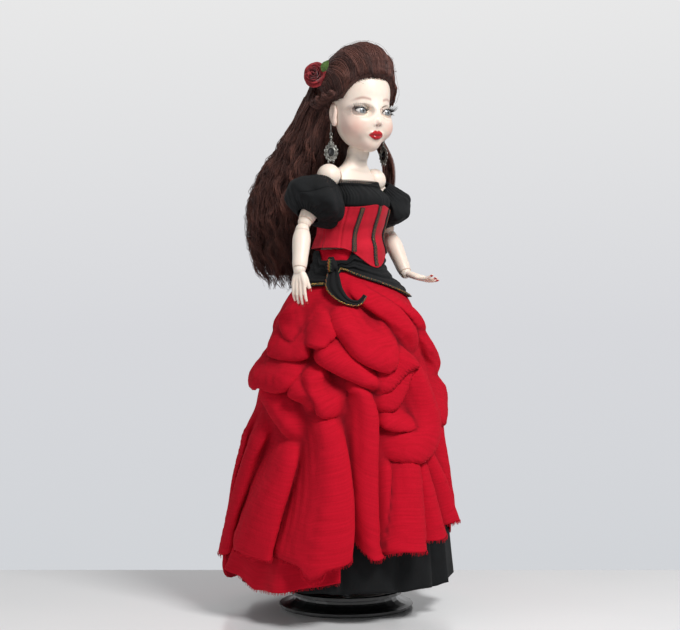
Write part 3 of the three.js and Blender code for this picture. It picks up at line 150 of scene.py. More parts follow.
def polar(angle, halfWidth, halfDepth, forward, height):
    angle, height = np.broadcast_arrays(angle, height)
    return np.stack([np.cos(angle) * halfWidth, np.sin(angle) * halfDepth - forward, height + 0 * angle], -1)


def shadeSmooth(piece, on=True):
    piece.data.polygons.foreach_set("use_smooth", [on] * len(piece.data.polygons))


def meshFrom(name, points, faces, material, flat=None):
    mesh = bpy.data.meshes.new(name)
    mesh.from_pydata((np.asarray(points).reshape(-1, 3) * mm).tolist(), [], faces)
    mesh.materials.append(material)
    if flat is not None:
        corners = np.zeros(len(mesh.loops), int)
        mesh.loops.foreach_get("vertex_index", corners)
        layer = mesh.uv_layers.new(name="cloth")
        layer.data.foreach_set("uv", np.asarray(flat, float).reshape(-1, 2)[corners].ravel())
    piece = bpy.data.objects.new(name, mesh)
    bpy.context.collection.objects.link(piece)
    shadeSmooth(piece)
    return piece


def gridFaces(rows, count, closed, start=0):
    r, i = np.meshgrid(np.arange(rows - 1), np.arange(count if closed else count - 1), indexing='ij')
    j = (i + 1) % count
    faces = np.stack([r * count + i, (r + 1) * count + i, (r + 1) * count + j, r * count + j], -1)
    return (faces.reshape(-1, 4) + start).tolist()


def gridPiece(name, points, material, closed=True, capped=False, flat=None, flip=False):
    rows, count = points.shape[:2]
    faces = gridFaces(rows, count, closed)
    if capped:
        faces += [list(range(count)), [(rows - 1) * count + i for i in range(count)][::-1]]
    if flip:  # for rows that run upwards
        faces = [face[::-1] for face in faces]
    return meshFrom(name, points, faces, material, flat)


def only(piece):
    bpy.ops.object.select_all(action='DESELECT')
    bpy.context.view_layer.objects.active = piece
    piece.select_set(True)


def outward(piece):
    only(piece)
    bpy.ops.object.mode_set(mode='EDIT')
    bpy.ops.mesh.select_all(action='SELECT')
    bpy.ops.mesh.remove_doubles(threshold=0.02 * mm)
    bpy.ops.mesh.normals_make_consistent(inside=False)
    bpy.ops.object.mode_set(mode='OBJECT')


def modify(piece, kind, **settings):
    only(piece)
    modifier = piece.modifiers.new(kind.lower(), kind)
    for name, value in settings.items():
        setattr(modifier, name, value)
    bpy.ops.object.modifier_apply(modifier=modifier.name)


def thicken(piece, thickness, offset=-1):
    modify(piece, 'SOLIDIFY', thickness=thickness * mm, offset=offset)


def joinInto(piece, others):
    only(piece)
    for other in others:
        other.select_set(True)
    bpy.ops.object.join()
    return piece


def paint(piece, layer, values):  # a share from 0 to 1 at each point, which a material reads
    store = piece.data.attributes.new(layer, 'FLOAT', 'POINT')
    store.data.foreach_set("value", np.clip(np.asarray(values, float).ravel(), 0, 1))


def paintAll(piece, layers):
    for layer, values in layers.items():
        paint(piece, layer, values)


def settle(piece, body, slotName, *nodes):
    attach(piece, body)
    if nodes:
        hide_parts(*nodes)
    return piece


def tubes(name, lines, radius, sides, material, taper=None):  # many thin round rods as one mesh
    lines = np.asarray(lines, float)
    count, steps = lines.shape[:2]
    along = np.gradient(lines, axis=1)
    along /= np.linalg.norm(along, axis=-1, keepdims=True) + 1e-12
    across = np.cross(along, (0.31, 0.17, 0.94))
    across /= np.linalg.norm(across, axis=-1, keepdims=True) + 1e-12
    up = np.cross(along, across)
    turns = turnsRound(sides)[:, None]
    share = np.linspace(0, 1, steps)
    size = radius * (np.ones(steps) if taper is None else taper(share))
    ring = np.cos(turns) * across[:, :, None] + np.sin(turns) * up[:, :, None]
    points = lines[:, :, None] + ring * size[:, None, None]
    one = np.array(gridFaces(steps, sides, True))[:, ::-1]
    starts = (np.arange(count) * steps * sides)[:, None, None]
    faces = (one[None] + starts).reshape(-1, 4).tolist()
    for start in starts.ravel().tolist():
        faces.append([start + i for i in range(sides)][::-1])
        faces.append([start + (steps - 1) * sides + i for i in range(sides)])
    return meshFrom(name, points, faces, material)


# Stage: a pale table top with a far edge behind the doll, and soft daylight from the doll's front
stage = {"tableBehind": 185, "tableHalfWidth": 900, "tableAhead": 900, "thickness": 12, "sky": 0.2,
         "aim": 0.27, "behind": ("#d0d3d7", "#d7d8dc", "#e9e9e9")}
# Each lamp's place is in metres to the lens's right, towards the lens and up
lamps = {"key": {"power": 17, "size": 0.4, "place": (0.6, 0.8, 1.15)},
         "fill": {"power": 2.6, "size": 0.8, "place": (-1.0, 0.7, 0.6)}}


def makeTable():
    bpy.ops.mesh.primitive_cube_add(size=1)
    table = bpy.context.object
    table.name = "tableTop"
    middle = toLens * (stage["tableAhead"] - stage["tableBehind"]) / 2
    table.scale = (2 * stage["tableHalfWidth"] * mm, (stage["tableAhead"] + stage["tableBehind"]) * mm,
                   stage["thickness"] * mm)
    table.location = (middle.x * mm, middle.y * mm, -stage["thickness"] * mm / 2)
    table.rotation_euler = (0, 0, math.atan2(lensRight.y, lensRight.x))
    bpy.ops.object.transform_apply(location=True, rotation=True, scale=True)
    material, tree, shader = newMaterial("Lacquered table", Roughness=0.2, Specular_IOR_Level=0.4)
    where = addNode(tree, "ShaderNodeTexCoord").outputs["Object"]
    haze = addNode(tree, "ShaderNodeTexNoise", {"Vector": where, "Scale": 3.0, "Detail": 2.0})
    tree.links.new(colourRamp(tree, haze.outputs["Fac"], [(0.35, "#eeeff0"), (0.65, "#f5f5f5")]),
                   shader.inputs["Base Color"])
    table.data.materials.append(material)


def makeDaylight():  # the wall behind is what the lens, mirrors and glass see; soft white light is what falls
    world = bpy.data.worlds.new("daylight")
    bpy.context.scene.world = world
    world.use_nodes = True
    tree = world.node_tree
    up = addNode(tree, "ShaderNodeTexCoord").outputs["Generated"]
    height = addNode(tree, "ShaderNodeSeparateXYZ", {"Vector": up}).outputs["Z"]
    share = addNode(tree, "ShaderNodeMapRange", {"Value": height, "From Min": -0.2, "From Max": 0.22})
    low, level, high = stage["behind"]
    shown = colourRamp(tree, share.outputs["Result"], [(0, low), (0.45, level), (1, high)])
    path = addNode(tree, "ShaderNodeLightPath")
    seen = path.outputs["Is Camera Ray"]
    for ray in ("Is Glossy Ray", "Is Transmission Ray"):
        seen = addNode(tree, "ShaderNodeMath", {0: seen, 1: path.outputs[ray]}, operation='MAXIMUM').outputs[0]
    light = addNode(tree, "ShaderNodeBackground", {"Color": linear("#f4f5f8"), "Strength": stage["sky"]})
    view = addNode(tree, "ShaderNodeBackground", {"Color": shown, "Strength": 1.0})
    both = addNode(tree, "ShaderNodeMixShader", {0: seen, 1: light.outputs[0], 2: view.outputs[0]})
    tree.links.new(both.outputs[0], tree.nodes["World Output"].inputs["Surface"])


def makeLamps():
    for name, lamp in lamps.items():
        aside, ahead, height = lamp["place"]
        place = lensRight * aside + toLens * ahead + Vector((0, 0, height))
        aim = (Vector((0, 0, stage["aim"])) - place).to_track_quat('-Z', 'Y').to_euler()
        bpy.ops.object.light_add(type='AREA', location=place, rotation=aim)
        bpy.context.object.data.energy = lamp["power"]
        bpy.context.object.data.size = lamp["size"]
        bpy.context.object.name = name


makeTable()
makeDaylight()
makeLamps()
bpy.context.scene.view_settings.view_transform = 'Standard'
print("stage")

# Materials


def objectPlace(tree, scale=(1, 1, 1)):
    where = addNode(tree, "ShaderNodeTexCoord").outputs["Object"]
    return addNode(tree, "ShaderNodeMapping", {"Vector": where, "Scale": scale}).outputs["Vector"]


def clothPlace(tree, scale=(1, 1, 1)):
    where = addNode(tree, "ShaderNodeTexCoord").outputs["UV"]
    return addNode(tree, "ShaderNodeMapping", {"Vector": where, "Scale": scale}).outputs["Vector"]


def noiseOf(tree, place, scale, detail=3.0, rough=0.55):
    return addNode(tree, "ShaderNodeTexNoise", {"Vector": place, "Scale": scale, "Detail": detail,
                                                "Roughness": rough}).outputs["Fac"]


def castResin():  # cast and sanded resin, matt, with light let in a little way under the surface
    material, tree, shader = newMaterial("Cast resin", Roughness=0.42, Subsurface_Weight=0.12,
                                         Subsurface_Scale=0.004, Specular_IOR_Level=0.4)
    shader.inputs["Subsurface Radius"].default_value = (1.0, 0.45, 0.3)
    place = objectPlace(tree)
    tone = colourRamp(tree, noiseOf(tree, place, 40), [(0.3, "#efdccc"), (0.7, "#f4e4d6")])
    # the dark layer is eyeliner, and painted shade in the nostrils and between the lips
    for layer, colour in (("blush", "#dca294"), ("shadow", "#54423d"), ("brow", "#a87f74"),
                          ("lips", "#b00d18"), ("dark", "#1c1110"), ("nails", "#b20f1a"), ("seam", "#c9a58f")):
        tone = mixColours(tree, attributeOf(tree, layer), tone, linear(colour))
    tree.links.new(tone, shader.inputs["Base Color"])
    glossy = addNode(tree, "ShaderNodeMath", {0: attributeOf(tree, "lips"), 1: attributeOf(tree, "nails")},
                     operation='MAXIMUM').outputs[0]
    shine = addNode(tree, "ShaderNodeMapRange", {"Value": glossy, "To Min": 0.42, "To Max": 0.12})
    tree.links.new(shine.outputs["Result"], shader.inputs["Roughness"])
    bumpFrom(tree, shader, noiseOf(tree, place, 900), 0.00005, 0.5)
    return material


def weaveOf(tree, place, thread):  # threads this many millimetres wide
    return addNode(tree, "ShaderNodeTexVoronoi", {"Vector": place, "Scale": 1000 / thread}).outputs[0]


def gauze(name, deep, lit, hollowShade, weave=0.7, crinkle=1.0):  # two layers, crinkled in ridges along the weft, with painted shade in the skirt's fold hollows
    material, tree, shader = newMaterial(name, Roughness=0.92, Specular_IOR_Level=0.18, Sheen_Weight=0.25,
                                         Sheen_Roughness=0.45)
    shader.inputs["Sheen Tint"].default_value = linear(lit)
    ridges = noiseOf(tree, clothPlace(tree, (50, 480, 1)), 1.0, 2.0)
    cross = noiseOf(tree, clothPlace(tree, (260, 60, 1)), 1.0, 2.0)
    threads = weaveOf(tree, clothPlace(tree), weave)
    tone = colourRamp(tree, ridges, [(0.0, deep), (0.8, lit)])
    tone = mixColours(tree, 0.12, tone, colourRamp(tree, threads, [(0.1, lit), (0.7, deep)]))
    # painted shade: the skirt's fold hollows and creases take the hollow colour
    tone = mixColours(tree, attributeOf(tree, "valleyShade"), tone, linear(hollowShade))
    tree.links.new(tone, shader.inputs["Base Color"])
    bumpFrom(tree, shader, threads, 0.00012, 0.4)
    bumpFrom(tree, shader, cross, 0.0002 * crinkle, 0.3)
    bumpFrom(tree, shader, ridges, 0.0003 * crinkle, 0.25)
    return material


def wovenCotton(name, deep, lit, thread=0.45, sheen=0.2):  # plain weave, its threads a little coarse
    material, tree, shader = newMaterial(name, Roughness=0.85, Specular_IOR_Level=0.25, Sheen_Weight=sheen,
                                         Sheen_Roughness=0.5)
    place = objectPlace(tree)
    rows = weaveOf(tree, place, thread)
    soft = noiseOf(tree, place, 55, 4.0)
    tone = colourRamp(tree, soft, [(0.3, deep), (0.7, lit)])
    tree.links.new(mixColours(tree, 0.15, tone, colourRamp(tree, rows, [(0.1, lit), (0.8, deep)])),
                   shader.inputs["Base Color"])
    bumpFrom(tree, shader, rows, 0.00015, 0.5)
    bumpFrom(tree, shader, soft, 0.0008, 0.35)
    return material


def mohair(name, deep, lit):  # combed goat hair, dyed chestnut: tone changes from lock to lock
    material, tree, shader = newMaterial(name, Roughness=0.6, Specular_IOR_Level=0.28, Sheen_Weight=0.04)
    tone = colourRamp(tree, attributeOf(tree, "lock"), [(0.0, deep), (0.55, "#54322c"), (1.0, lit)])
    fine = noiseOf(tree, objectPlace(tree, (1, 1, 0.35)), 700, 3.0)
    tree.links.new(mixColours(tree, 0.3, tone, colourRamp(tree, fine, [(0.3, deep), (0.7, lit)])),
                   shader.inputs["Base Color"])
    bumpFrom(tree, shader, fine, 0.0002, 0.5)
    return material


def plainFinish(name, colours, scale, rough, metal=0.0, bump=0.0, coat=0.0, **sockets):
    material, tree, shader = newMaterial(name, Roughness=rough, Metallic=metal, Coat_Weight=coat, **sockets)
    soft = noiseOf(tree, objectPlace(tree), scale, 4.0)
    tree.links.new(colourRamp(tree, soft, list(zip((0.3, 0.7), colours))), shader.inputs["Base Color"])
    if bump:
        bumpFrom(tree, shader, soft, bump, 0.6)
    return material


def eyeGlass():  # blown glass eye: grey iris with a dark rim, black pupil, milky white, clear shine over it
    material, tree, shader = newMaterial("Blown glass eye", Roughness=0.25, Coat_Weight=1.0,
                                         Coat_Roughness=0.03)
    spokes = noiseOf(tree, objectPlace(tree), 2600, 2.0)
    iris = colourRamp(tree, spokes, [(0.3, "#565b61"), (0.7, "#989da3")])
    ring = attributeOf(tree, "ring")
    tone = mixColours(tree, colourRamp(tree, ring, [(0.0, "#ffffff"), (0.62, "#ffffff"), (0.8, "#000000")]),
                      linear("#dcd6d1"), iris)
    dark = colourRamp(tree, ring, [(0.24, "#000000"), (0.3, "#ffffff"), (0.62, "#ffffff"), (0.72, "#30343a"),
                                   (0.8, "#ffffff")])
    tree.links.new(mixColours(tree, 1.0, tone, dark, 'MULTIPLY'), shader.inputs["Base Color"])
    return material


resin = castResin()
# the last colour is the painted shade in the skirt's fold hollows
redGauze = gauze("Red double gauze", "#a50419", "#c90b28", "#3c010a")
redLinen = wovenCotton("Red linen", "#a6091e", "#c8132d", 0.5, 0.08)
blackCotton = wovenCotton("Black cotton lawn", "#070809", "#0e1012", 0.4, 0.0)
blackLace = wovenCotton("Black crochet lace", "#060607", "#0e0f11", 0.8, 0.0)
hairFibre = mohair("Chestnut mohair", "#26120f", "#70473c")
blackLash = plainFinish("Black lash fibre", ("#070606", "#141010"), 200, 0.5)
roseCloth = plainFinish("Velvet petal cloth", ("#6d0b14", "#a0131f"), 140, 0.8, bump=0.0003, Sheen_Weight=0.35)
leafCloth = plainFinish("Green leaf cloth", ("#2c4a1e", "#56742f"), 150, 0.7, bump=0.0002)
silver = plainFinish("Antique silver", ("#403f3b", "#b4b3ac"), 450, 0.28, metal=1.0, bump=0.0001)
onyx = plainFinish("Faceted black onyx", ("#050506", "#0d0e10"), 60, 0.06)
paintedWood = plainFinish("Turned wood, black satin lacquer", ("#141516", "#1d1f20"), 60, 0.3, bump=0.0003,
                          coat=0.35, Coat_Roughness=0.25)
polishedSteel = plainFinish("Polished steel wire", ("#a8acb0", "#c8ccd0"), 90, 0.25, metal=1.0, bump=0.00005)
elasticBraid = plainFinish("White elastic braid", ("#e3ded2", "#f6f2e8"), 1200, 0.8, bump=0.0002)
goldThread = plainFinish("Gold metallic thread", ("#7d6424", "#c09a48"), 1500, 0.32, metal=1.0, bump=0.0001)
greenThread = plainFinish("Green embroidery thread", ("#1f3d22", "#3f6b3a"), 1500, 0.6, bump=0.0001)
orangeThread = plainFinish("Rust embroidery thread", ("#8a3a12", "#c2632a"), 1500, 0.6, bump=0.0001)
blackThread = plainFinish("Black gimp cord", ("#0b0b0c", "#1d1c1b"), 1500, 0.65, bump=0.0002)
glassEye = eyeGlass()

cadFinish = {"stand_base": paintedWood, "stand_rod": polishedSteel, "stand_saddle": polishedSteel,
             "elastic": elasticBraid, "hook": polishedSteel, "wire": silver}


def finishOf(node):
    for word, material in cadFinish.items():
        if word in node:
            return material
    return resin


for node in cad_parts:
    carried = bpy.data.objects[node]
    carried.data.materials.clear()
    carried.data.materials.append(finishOf(node))
print("materials")

# Skirt form: how far the cloth has flared at even steps from the waist to the petticoat's hem
skirt = {"top": 312, "hem": 27, "hemRadius": 92, "waistHalfWidth": 29.6, "waistHalfDepth": 24.5,
         "forward": 3.2,
         "flare": (0, 0.06, 0.28, 0.43, 0.51, 0.57, 0.63, 0.69, 0.735, 0.77, 0.8, 0.83, 0.855, 0.88, 0.9, 0.92,
                   0.94, 0.955, 0.97, 0.985, 1)}


def onSkirt(angle, height, lift, hold=1.0):
    share = eased(skirt["flare"], (skirt["top"] - height) / (skirt["top"] - skirt["hem"])) ** hold
    halfWidth = skirt["waistHalfWidth"] * (1 - share) + skirt["hemRadius"] * share + lift
    halfDepth = skirt["waistHalfDepth"] * (1 - share) + skirt["hemRadius"] * share + lift
    return polar(angle, halfWidth, halfDepth, skirt["forward"] * (1 - share), height)


# Overskirt: each fold is a roll of cloth along a line of (degrees round the skirt, height), with how far it
# stands out and how wide it is, both at its start and at its end
overskirt = {"top": 317, "around": 288, "rows": 172, "thickness": 1.0, "rest": 2.2, "droop": 0.15,
             "slopes": (1.9, 0.55), "roll": 0.8, "rollWay": (0.5, -0.87), "pull": 7, "crumple": 0.7,
             "crumpleSize": 8, "train": 8, "trainTop": 150, "trainDrop": 130, "flutesEnd": 100,
             # one entry gives the painted shade of the fold hollows and creases: its share per millimetre of
             # hollow, its share in the creases, and its darkest share
             "paintedShade": (0.11, 0.4, 0.8), "widest": (-117, 110), "turnIn": 16, "farSide": 42,
             "flat": (660, 340)}
skirtFolds = (
    (((227, 290), (242, 278), (256, 267), (268, 250), (277, 228)), (9, 19), (13, 19)),
    (((238, 292), (258, 282), (280, 264), (296, 240)), (8, 17), (11, 17)),
    (((212, 266), (221, 254), (232, 240), (246, 233), (260, 236)), (17, 25), (15, 19)),
    (((260, 236), (252, 221), (244, 206), (238, 190)), (24, 10), (17, 11)),
    (((203, 240), (214, 230), (227, 218), (237, 205), (241, 194)), (20, 15), (17, 12)),
    (((200, 231), (203, 246), (212, 262)), (20, 15), (15, 12)),
    (((150, 243), (168, 236), (184, 233), (196, 238), (208, 256)), (11, 14), (15, 14)),
    (((160, 266), (176, 248), (190, 238)), (9, 11), (12, 13)),
    (((130, 214), (148, 212), (166, 209), (182, 211), (198, 218)), (14, 17), (16, 15)),
    (((198, 218), (202, 200), (210, 187), (220, 180)), (18, 14), (16, 12)),
    (((160, 210), (172, 192), (184, 174), (196, 155)), (15, 8), (19, 12)),
    (((188, 207), (200, 196), (207, 180)), (15, 14), (17, 12)),
    (((221, 203), (228, 200), (232, 180), (231, 150), (230, 115), (231, 82), (234, 57)), (12, 19), (11, 13)),
    (((206, 182), (211, 155), (212, 122), (210, 90), (206, 58)), (14, 31), (12, 34)),
    (((190, 155), (184, 124), (177, 98), (170, 62)), (10, 26), (12, 33)),
    (((168, 168), (156, 142), (146, 106), (134, 50)), (10, 17), (14, 26)),
    (((148, 176), (138, 140), (126, 100), (112, 40)), (10, 17), (14, 26)),
    (((259, 228), (253, 210), (247, 192), (238, 178)), (17, 10), (15, 11)),
    (((261, 228), (267, 205), (271, 180), (267, 161), (256, 150), (243, 143)), (19, 17), (18, 15)),
    (((240, 177), (254, 170), (265, 166)), (10, 14), (11, 12)),
    (((258, 148), (253, 113), (247, 66)), (10, 27), (9, 19)),
    (((263, 150), (266, 112), (268, 70)), (8, 21), (8, 15)),
    (((268, 154), (277, 125), (285, 80)), (9, 20), (9, 17)),
    (((244, 142), (242, 106), (239, 68)), (6, 14), (7, 11)),
    (((279, 256), (292, 243), (306, 227), (316, 205)), (10, 14), (14, 20)),
    (((316, 205), (306, 184), (286, 166)), (14, 9), (18, 12)),
    (((288, 170), (292, 130), (298, 72)), (9, 10), (9, 15)),
    (((302, 182), (308, 140), (314, 66)), (6, 2), (11, 15)),
)
# The gown's hem and the sash's lower edge, as (degrees, height)
hemHeights = ((132, 50), (150, 57), (170, 61), (192, 57), (206, 54), (216, 64), (225, 74), (234, 57), (246, 66),
              (268, 71), (284, 84), (300, 78), (314, 68), (340, 52), (370, 34), (400, 16), (430, 9), (460, 11),
              (478, 28))
sashEdge = ((150, 284), (180, 284), (200, 285), (206, 288), (214, 298), (222, 297), (240, 292), (260, 287),
            (280, 281), (300, 276), (330, 276), (360, 280), (420, 284))


def foldShape(angle, height):  # how far each point of the cloth stands out, how far it rolls over, and where two folds meet, for painted shade in the creases
    round360 = np.degrees(angle) % 360
    girth = np.hypot(*np.moveaxis(onSkirt(0 * height, height, 8)[..., :2], -1, 0))
    best, second = np.zeros_like(height), np.zeros_like(height)
    slide = np.zeros(height.shape + (2,))
    leanX, leanZ = overskirt["rollWay"]
    upper, lower = overskirt["slopes"]
    for turn in (0, 180):
        far = np.cos(angle - np.radians(overskirt["farSide"]))
        shown = ease(0.1, 0.45, far) if turn else 1 + 0 * height
        for track, reach, width in skirtFolds:
            track = np.array(track, float)
            count = 4 * len(track)
            share = np.linspace(0, 1, count)
            line = np.stack([eased(track[:, k], share) for k in (0, 1)], -1)
            far, asideX, asideZ, along = np.full_like(height, 1e3), 0 * height, 0 * height, 0 * height
            for k in range(count - 1):
                across = np.radians((round360 - line[k, 0] - turn + 180) % 360 - 180) * girth
                stepX = np.radians(line[k + 1, 0] - line[k, 0]) * girth
                stepZ = line[k + 1, 1] - line[k, 1]
                drop = height - line[k, 1]
                at = np.clip((across * stepX + drop * stepZ) / (stepX ** 2 + stepZ ** 2), 0, 1)
                offX, offZ = across - at * stepX, drop - at * stepZ
                reached = np.hypot(offX, offZ) + 1e-6
                near = reached < far
                far = np.where(near, reached, far)
                asideX, asideZ = np.where(near, offX, asideX), np.where(near, offZ, asideZ)
                along = np.where(near, share[k] + (share[k + 1] - share[k]) * at, along)
            wide = width[0] + (width[1] - width[0]) * along
            out = (reach[0] + (reach[1] - reach[0]) * along) * shown
            fade = ease(-0.08, 0.22, along)
            if track[-1, 1] > overskirt["flutesEnd"]:
                fade = fade * ease(1.08, 0.74, along)
            out = out * fade
            lean = np.clip((asideX * leanX + asideZ * leanZ) / far, -1, 1)
            part = np.clip(far / (wide * (upper + (lower - upper) * (0.5 + 0.5 * lean))), 0, 1)
            above = (1 - np.sqrt(part ** 2 + 0.01) / 1.005) ** 1.3
            under = np.cos(np.pi / 2 * part) ** 0.8
            lift = out * (above + (under - above) * ease(-0.3, 0.6, lean))
            pulls = np.cos(far * 2 * np.pi / overskirt["pull"] + 9 * along + track[0, 0])
            lift = lift + 0.03 * out * pulls * np.sin(np.pi * part) * ease(0, 1, part * 3)
            push = overskirt["roll"] * out * np.sin(np.pi * part) * np.clip(lean, 0, 1) / far
            lead = lift > best
            second = np.where(lead, best, np.maximum(second, lift))
            best = np.where(lead, lift, best)
            slide = np.where(lead[..., None], np.stack([asideX * push, asideZ * push], -1), slide)
    slide = slide * ease(0, 5, best - second)[..., None] / np.stack([girth, 0 * girth + 1], -1)
    return best, slide, bell(best - second, 1.6) * ease(2, 7, best)


def runningAverage(values, halfRows=6, halfSteps=5):  # a running average down the cloth and round it
    for axis, half in ((0, halfRows), (1, halfSteps)):
        shifts = range(-half, half + 1)
        if axis:
            values = sum(np.roll(values, k, 1) for k in shifts) / len(shifts)
        else:
            last = len(values) - 1
            values = sum(values[np.clip(np.arange(last + 1) + k, 0, last)] for k in shifts) / len(shifts)
    return values


def noiseField(points, size, seed=0.0, octaves=2):
    flat = np.asarray(points).reshape(-1, 3) / size + seed
    return np.array([noise.fractal(Vector(p), 0.6, 2.0, octaves) for p in flat]).reshape(points.shape[:-1])


def edgeAt(edge, degrees):
    places, heights = np.array(edge + ((edge[0][0] + 360, edge[0][1]),), float).T
    return np.interp((degrees - places[0]) % 360 + places[0], places, heights)


def sashLow(degrees):  # where the hip sash ends: high beside its knot, and low over the far hip
    return edgeAt(sashEdge, degrees)


def makeOverskirt():
    size = overskirt
    angle = turnsRound(size["around"])
    hem = edgeAt(hemHeights, np.degrees(angle))
    share = np.linspace(0, 1, size["rows"])[:, None]
    height = size["top"] + (hem[None] - size["top"]) * share
    angle = np.repeat(angle[None], size["rows"], 0)
    grow = ease(3, -20, height - sashLow(np.degrees(angle)))
    folds, slide, creaseShade = foldShape(angle, height)
    folds, slide = folds * grow, slide * grow[..., None]
    # painted shade: the cloth is darkened where it sinks below the folds around it and in the creases where two
    # folds meet
    hollowShade = runningAverage(runningAverage(folds)) - folds
    deepShare, creaseShare, darkest = size["paintedShade"]
    valleyShade = np.clip(deepShare * np.maximum(hollowShade, 0) + creaseShare * creaseShade * grow, 0, darkest)
    low = np.clip((size["trainTop"] - height) / size["trainDrop"], 0, 1)
    train = size["train"] * low ** 1.3 * np.clip(0.5 + 0.5 * np.sin(angle), 0, 1)
    points = onSkirt(angle + slide[..., 0], height + slide[..., 1], size["rest"] + folds + train)
    wave = noiseField(points * np.array([1, 1, 0.45]), size["crumpleSize"]) * size["crumple"]
    out = np.stack([np.cos(angle), np.sin(angle), 0 * angle], -1)
    points = points + out * (wave * grow)[..., None]
    points[..., 2] -= size["droop"] * folds * (1 - 0.6 * low)
    for side, end in zip((-1, 1), size["widest"]):
        over = np.maximum(side * (points[..., 0] - end) + size["turnIn"], 0)
        points[..., 0] -= side * (over - size["turnIn"] * (1 - np.exp(-over / size["turnIn"])))
    cutWidth, cutLength = size["flat"]
    flat = np.stack([angle / (2 * np.pi) * cutWidth, -share * cutLength + 0 * angle], -1) * mm
    skirtPiece = gridPiece("gauzeOverskirt", points, redGauze, flat=flat)
    paint(skirtPiece, "valleyShade", valleyShade)
    modify(skirtPiece, 'SMOOTH', factor=0.5, iterations=3)
    thicken(skirtPiece, size["thickness"])
    settle(skirtPiece, "torso", "red_linen", "overskirt")
    return points


# The train's lower layer, which shows under the front flutes
underLayer = {"ends": (96, 219), "top": 112, "around": 96, "rows": 46, "thickness": 0.9, "laidDown": 206,
              "hem": ((96, 12), (110, 24), (132, 43), (158, 35), (172, 26), (194, 29), (200, 32), (219, 37)),
              "flutes": (4.5, 2)}


def makeUnderLayer():
    size = underLayer
    angle = np.radians(np.linspace(*size["ends"], size["around"]))[None]
    share = np.linspace(0, 1, size["rows"])[:, None]
    hem = np.interp(np.degrees(angle), *np.array(size["hem"], float).T)
    height = size["top"] + (hem - size["top"]) * share
    angle = angle + 0 * share
    broad, fine = size["flutes"]
    flutes = broad * share * np.cos(9 * angle + 1.5 * share) + fine * share * np.cos(17 * angle)
    edge = ease(size["ends"][1], size["laidDown"], np.degrees(angle))
    points = onSkirt(angle, height, 1.5 + share * (9 * edge + flutes * edge + 2))
    flat = np.stack([angle * 0.1, -share * 0.09 + 0 * angle], -1)
    panel = gridPiece("trainUnderLayer", points, redGauze, closed=False, flat=flat)
    thicken(panel, size["thickness"], 0)
    settle(panel, "torso", "red_linen")
    return points


# Raw edges: short loose threads along a hem
frays = {"length": 2.6, "radius": 0.13, "counts": {"overskirt": 1500, "underLayer": 420}}


def makeFrays(name, hemLine, seed):
    rng = np.random.default_rng(seed)
    count = frays["counts"][name]
    steps = np.linalg.norm(np.diff(hemLine, axis=0), axis=1)
    ends = np.concatenate([[0], np.cumsum(steps)])
    places = np.sort(rng.uniform(0, ends[-1], count))
    starts = np.stack([np.interp(places, ends, hemLine[:, k]) for k in range(3)], -1)
    along = np.stack([np.interp(places + 1, ends, hemLine[:, k]) for k in range(3)], -1) - starts
    lines = []
    for start, side in zip(starts, along):
        reach = frays["length"] * rng.uniform(0.3, 1.0)
        lean = side * rng.uniform(-1.2, 1.2) + rng.normal(0, 0.25, 3)
        step = np.linspace(0, 1, 4)[:, None]
        lines.append(start + np.array([0, 0, 0.6]) + step * lean * reach * 0.4 * step
                     - step * np.array([0, 0, 1]) * (reach + 0.6))
    settle(tubes(name + "Fray", lines, frays["radius"], 3, redGauze), "torso", "red_linen")


overPoints = makeOverskirt()
underPoints = makeUnderLayer()
makeFrays("overskirt", np.concatenate([overPoints[-1], overPoints[-1][:1]]), 5)
makeFrays("underLayer", underPoints[-1], 6)
print("overskirt")

# Petticoat: black cotton in fine gathers, flared by the flounce at its foot
petticoat = {"top": 312, "hem": 27, "around": 480, "rows": 96, "gathers": 27, "depth": 4.8, "thickness": 0.6,
             "flounceTop": 78, "flounceOut": 1.5}


def makePetticoat():
    size = petticoat
    angle, share = clothGrid(size["around"], size["rows"])
    height = size["top"] + (size["hem"] - size["top"]) * share
    angle = angle + 0.02 * np.sin(3 * angle + 4 * share)
    low = np.clip((skirt["top"] - height) / (skirt["top"] - skirt["hem"]), 0, 1)
    drift = 0.9 * np.sin(5 * angle + 0.8) + 0.6 * np.sin(11 * angle + 2)
    broad = np.cos(size["gathers"] * 0.5 * angle + drift + 0.8 * share)
    fine = np.cos(size["gathers"] * angle + 2 * drift)
    flounce = ease(size["flounceTop"] + 4, size["flounceTop"] - 6, height)
    wave = size["depth"] * (0.25 + 0.75 * flounce) * low ** 2 * (0.85 * broad + 0.15 * fine)
    points = onSkirt(angle, height, wave - 0.4 + size["flounceOut"] * flounce, 1.15)
    points[..., 2] += 1.2 * low ** 2 * broad * flounce
    piece = gridPiece("cottonPetticoat", points, blackCotton)
    thicken(piece, size["thickness"])
    settle(piece, "torso", "black_cotton", "petticoat")


makePetticoat()
print("petticoat")

# Head, drawn round its own upright axis and turned a little to the doll's right
head = {"turn": -15, "forward": 14.4, "blend": 4, "around": 300, "rows": 230, "middle": (0, -3.2, 440.05),
        "reach": 70, "eye": (13, -20.3, 436.5), "eyeRadius": 6.6, "opening": (5.2, 2.7, 2.1),
        "socket": (13, -35.6, 436.5, 8.5), "well": (9.0, 5.4, 4.5)}
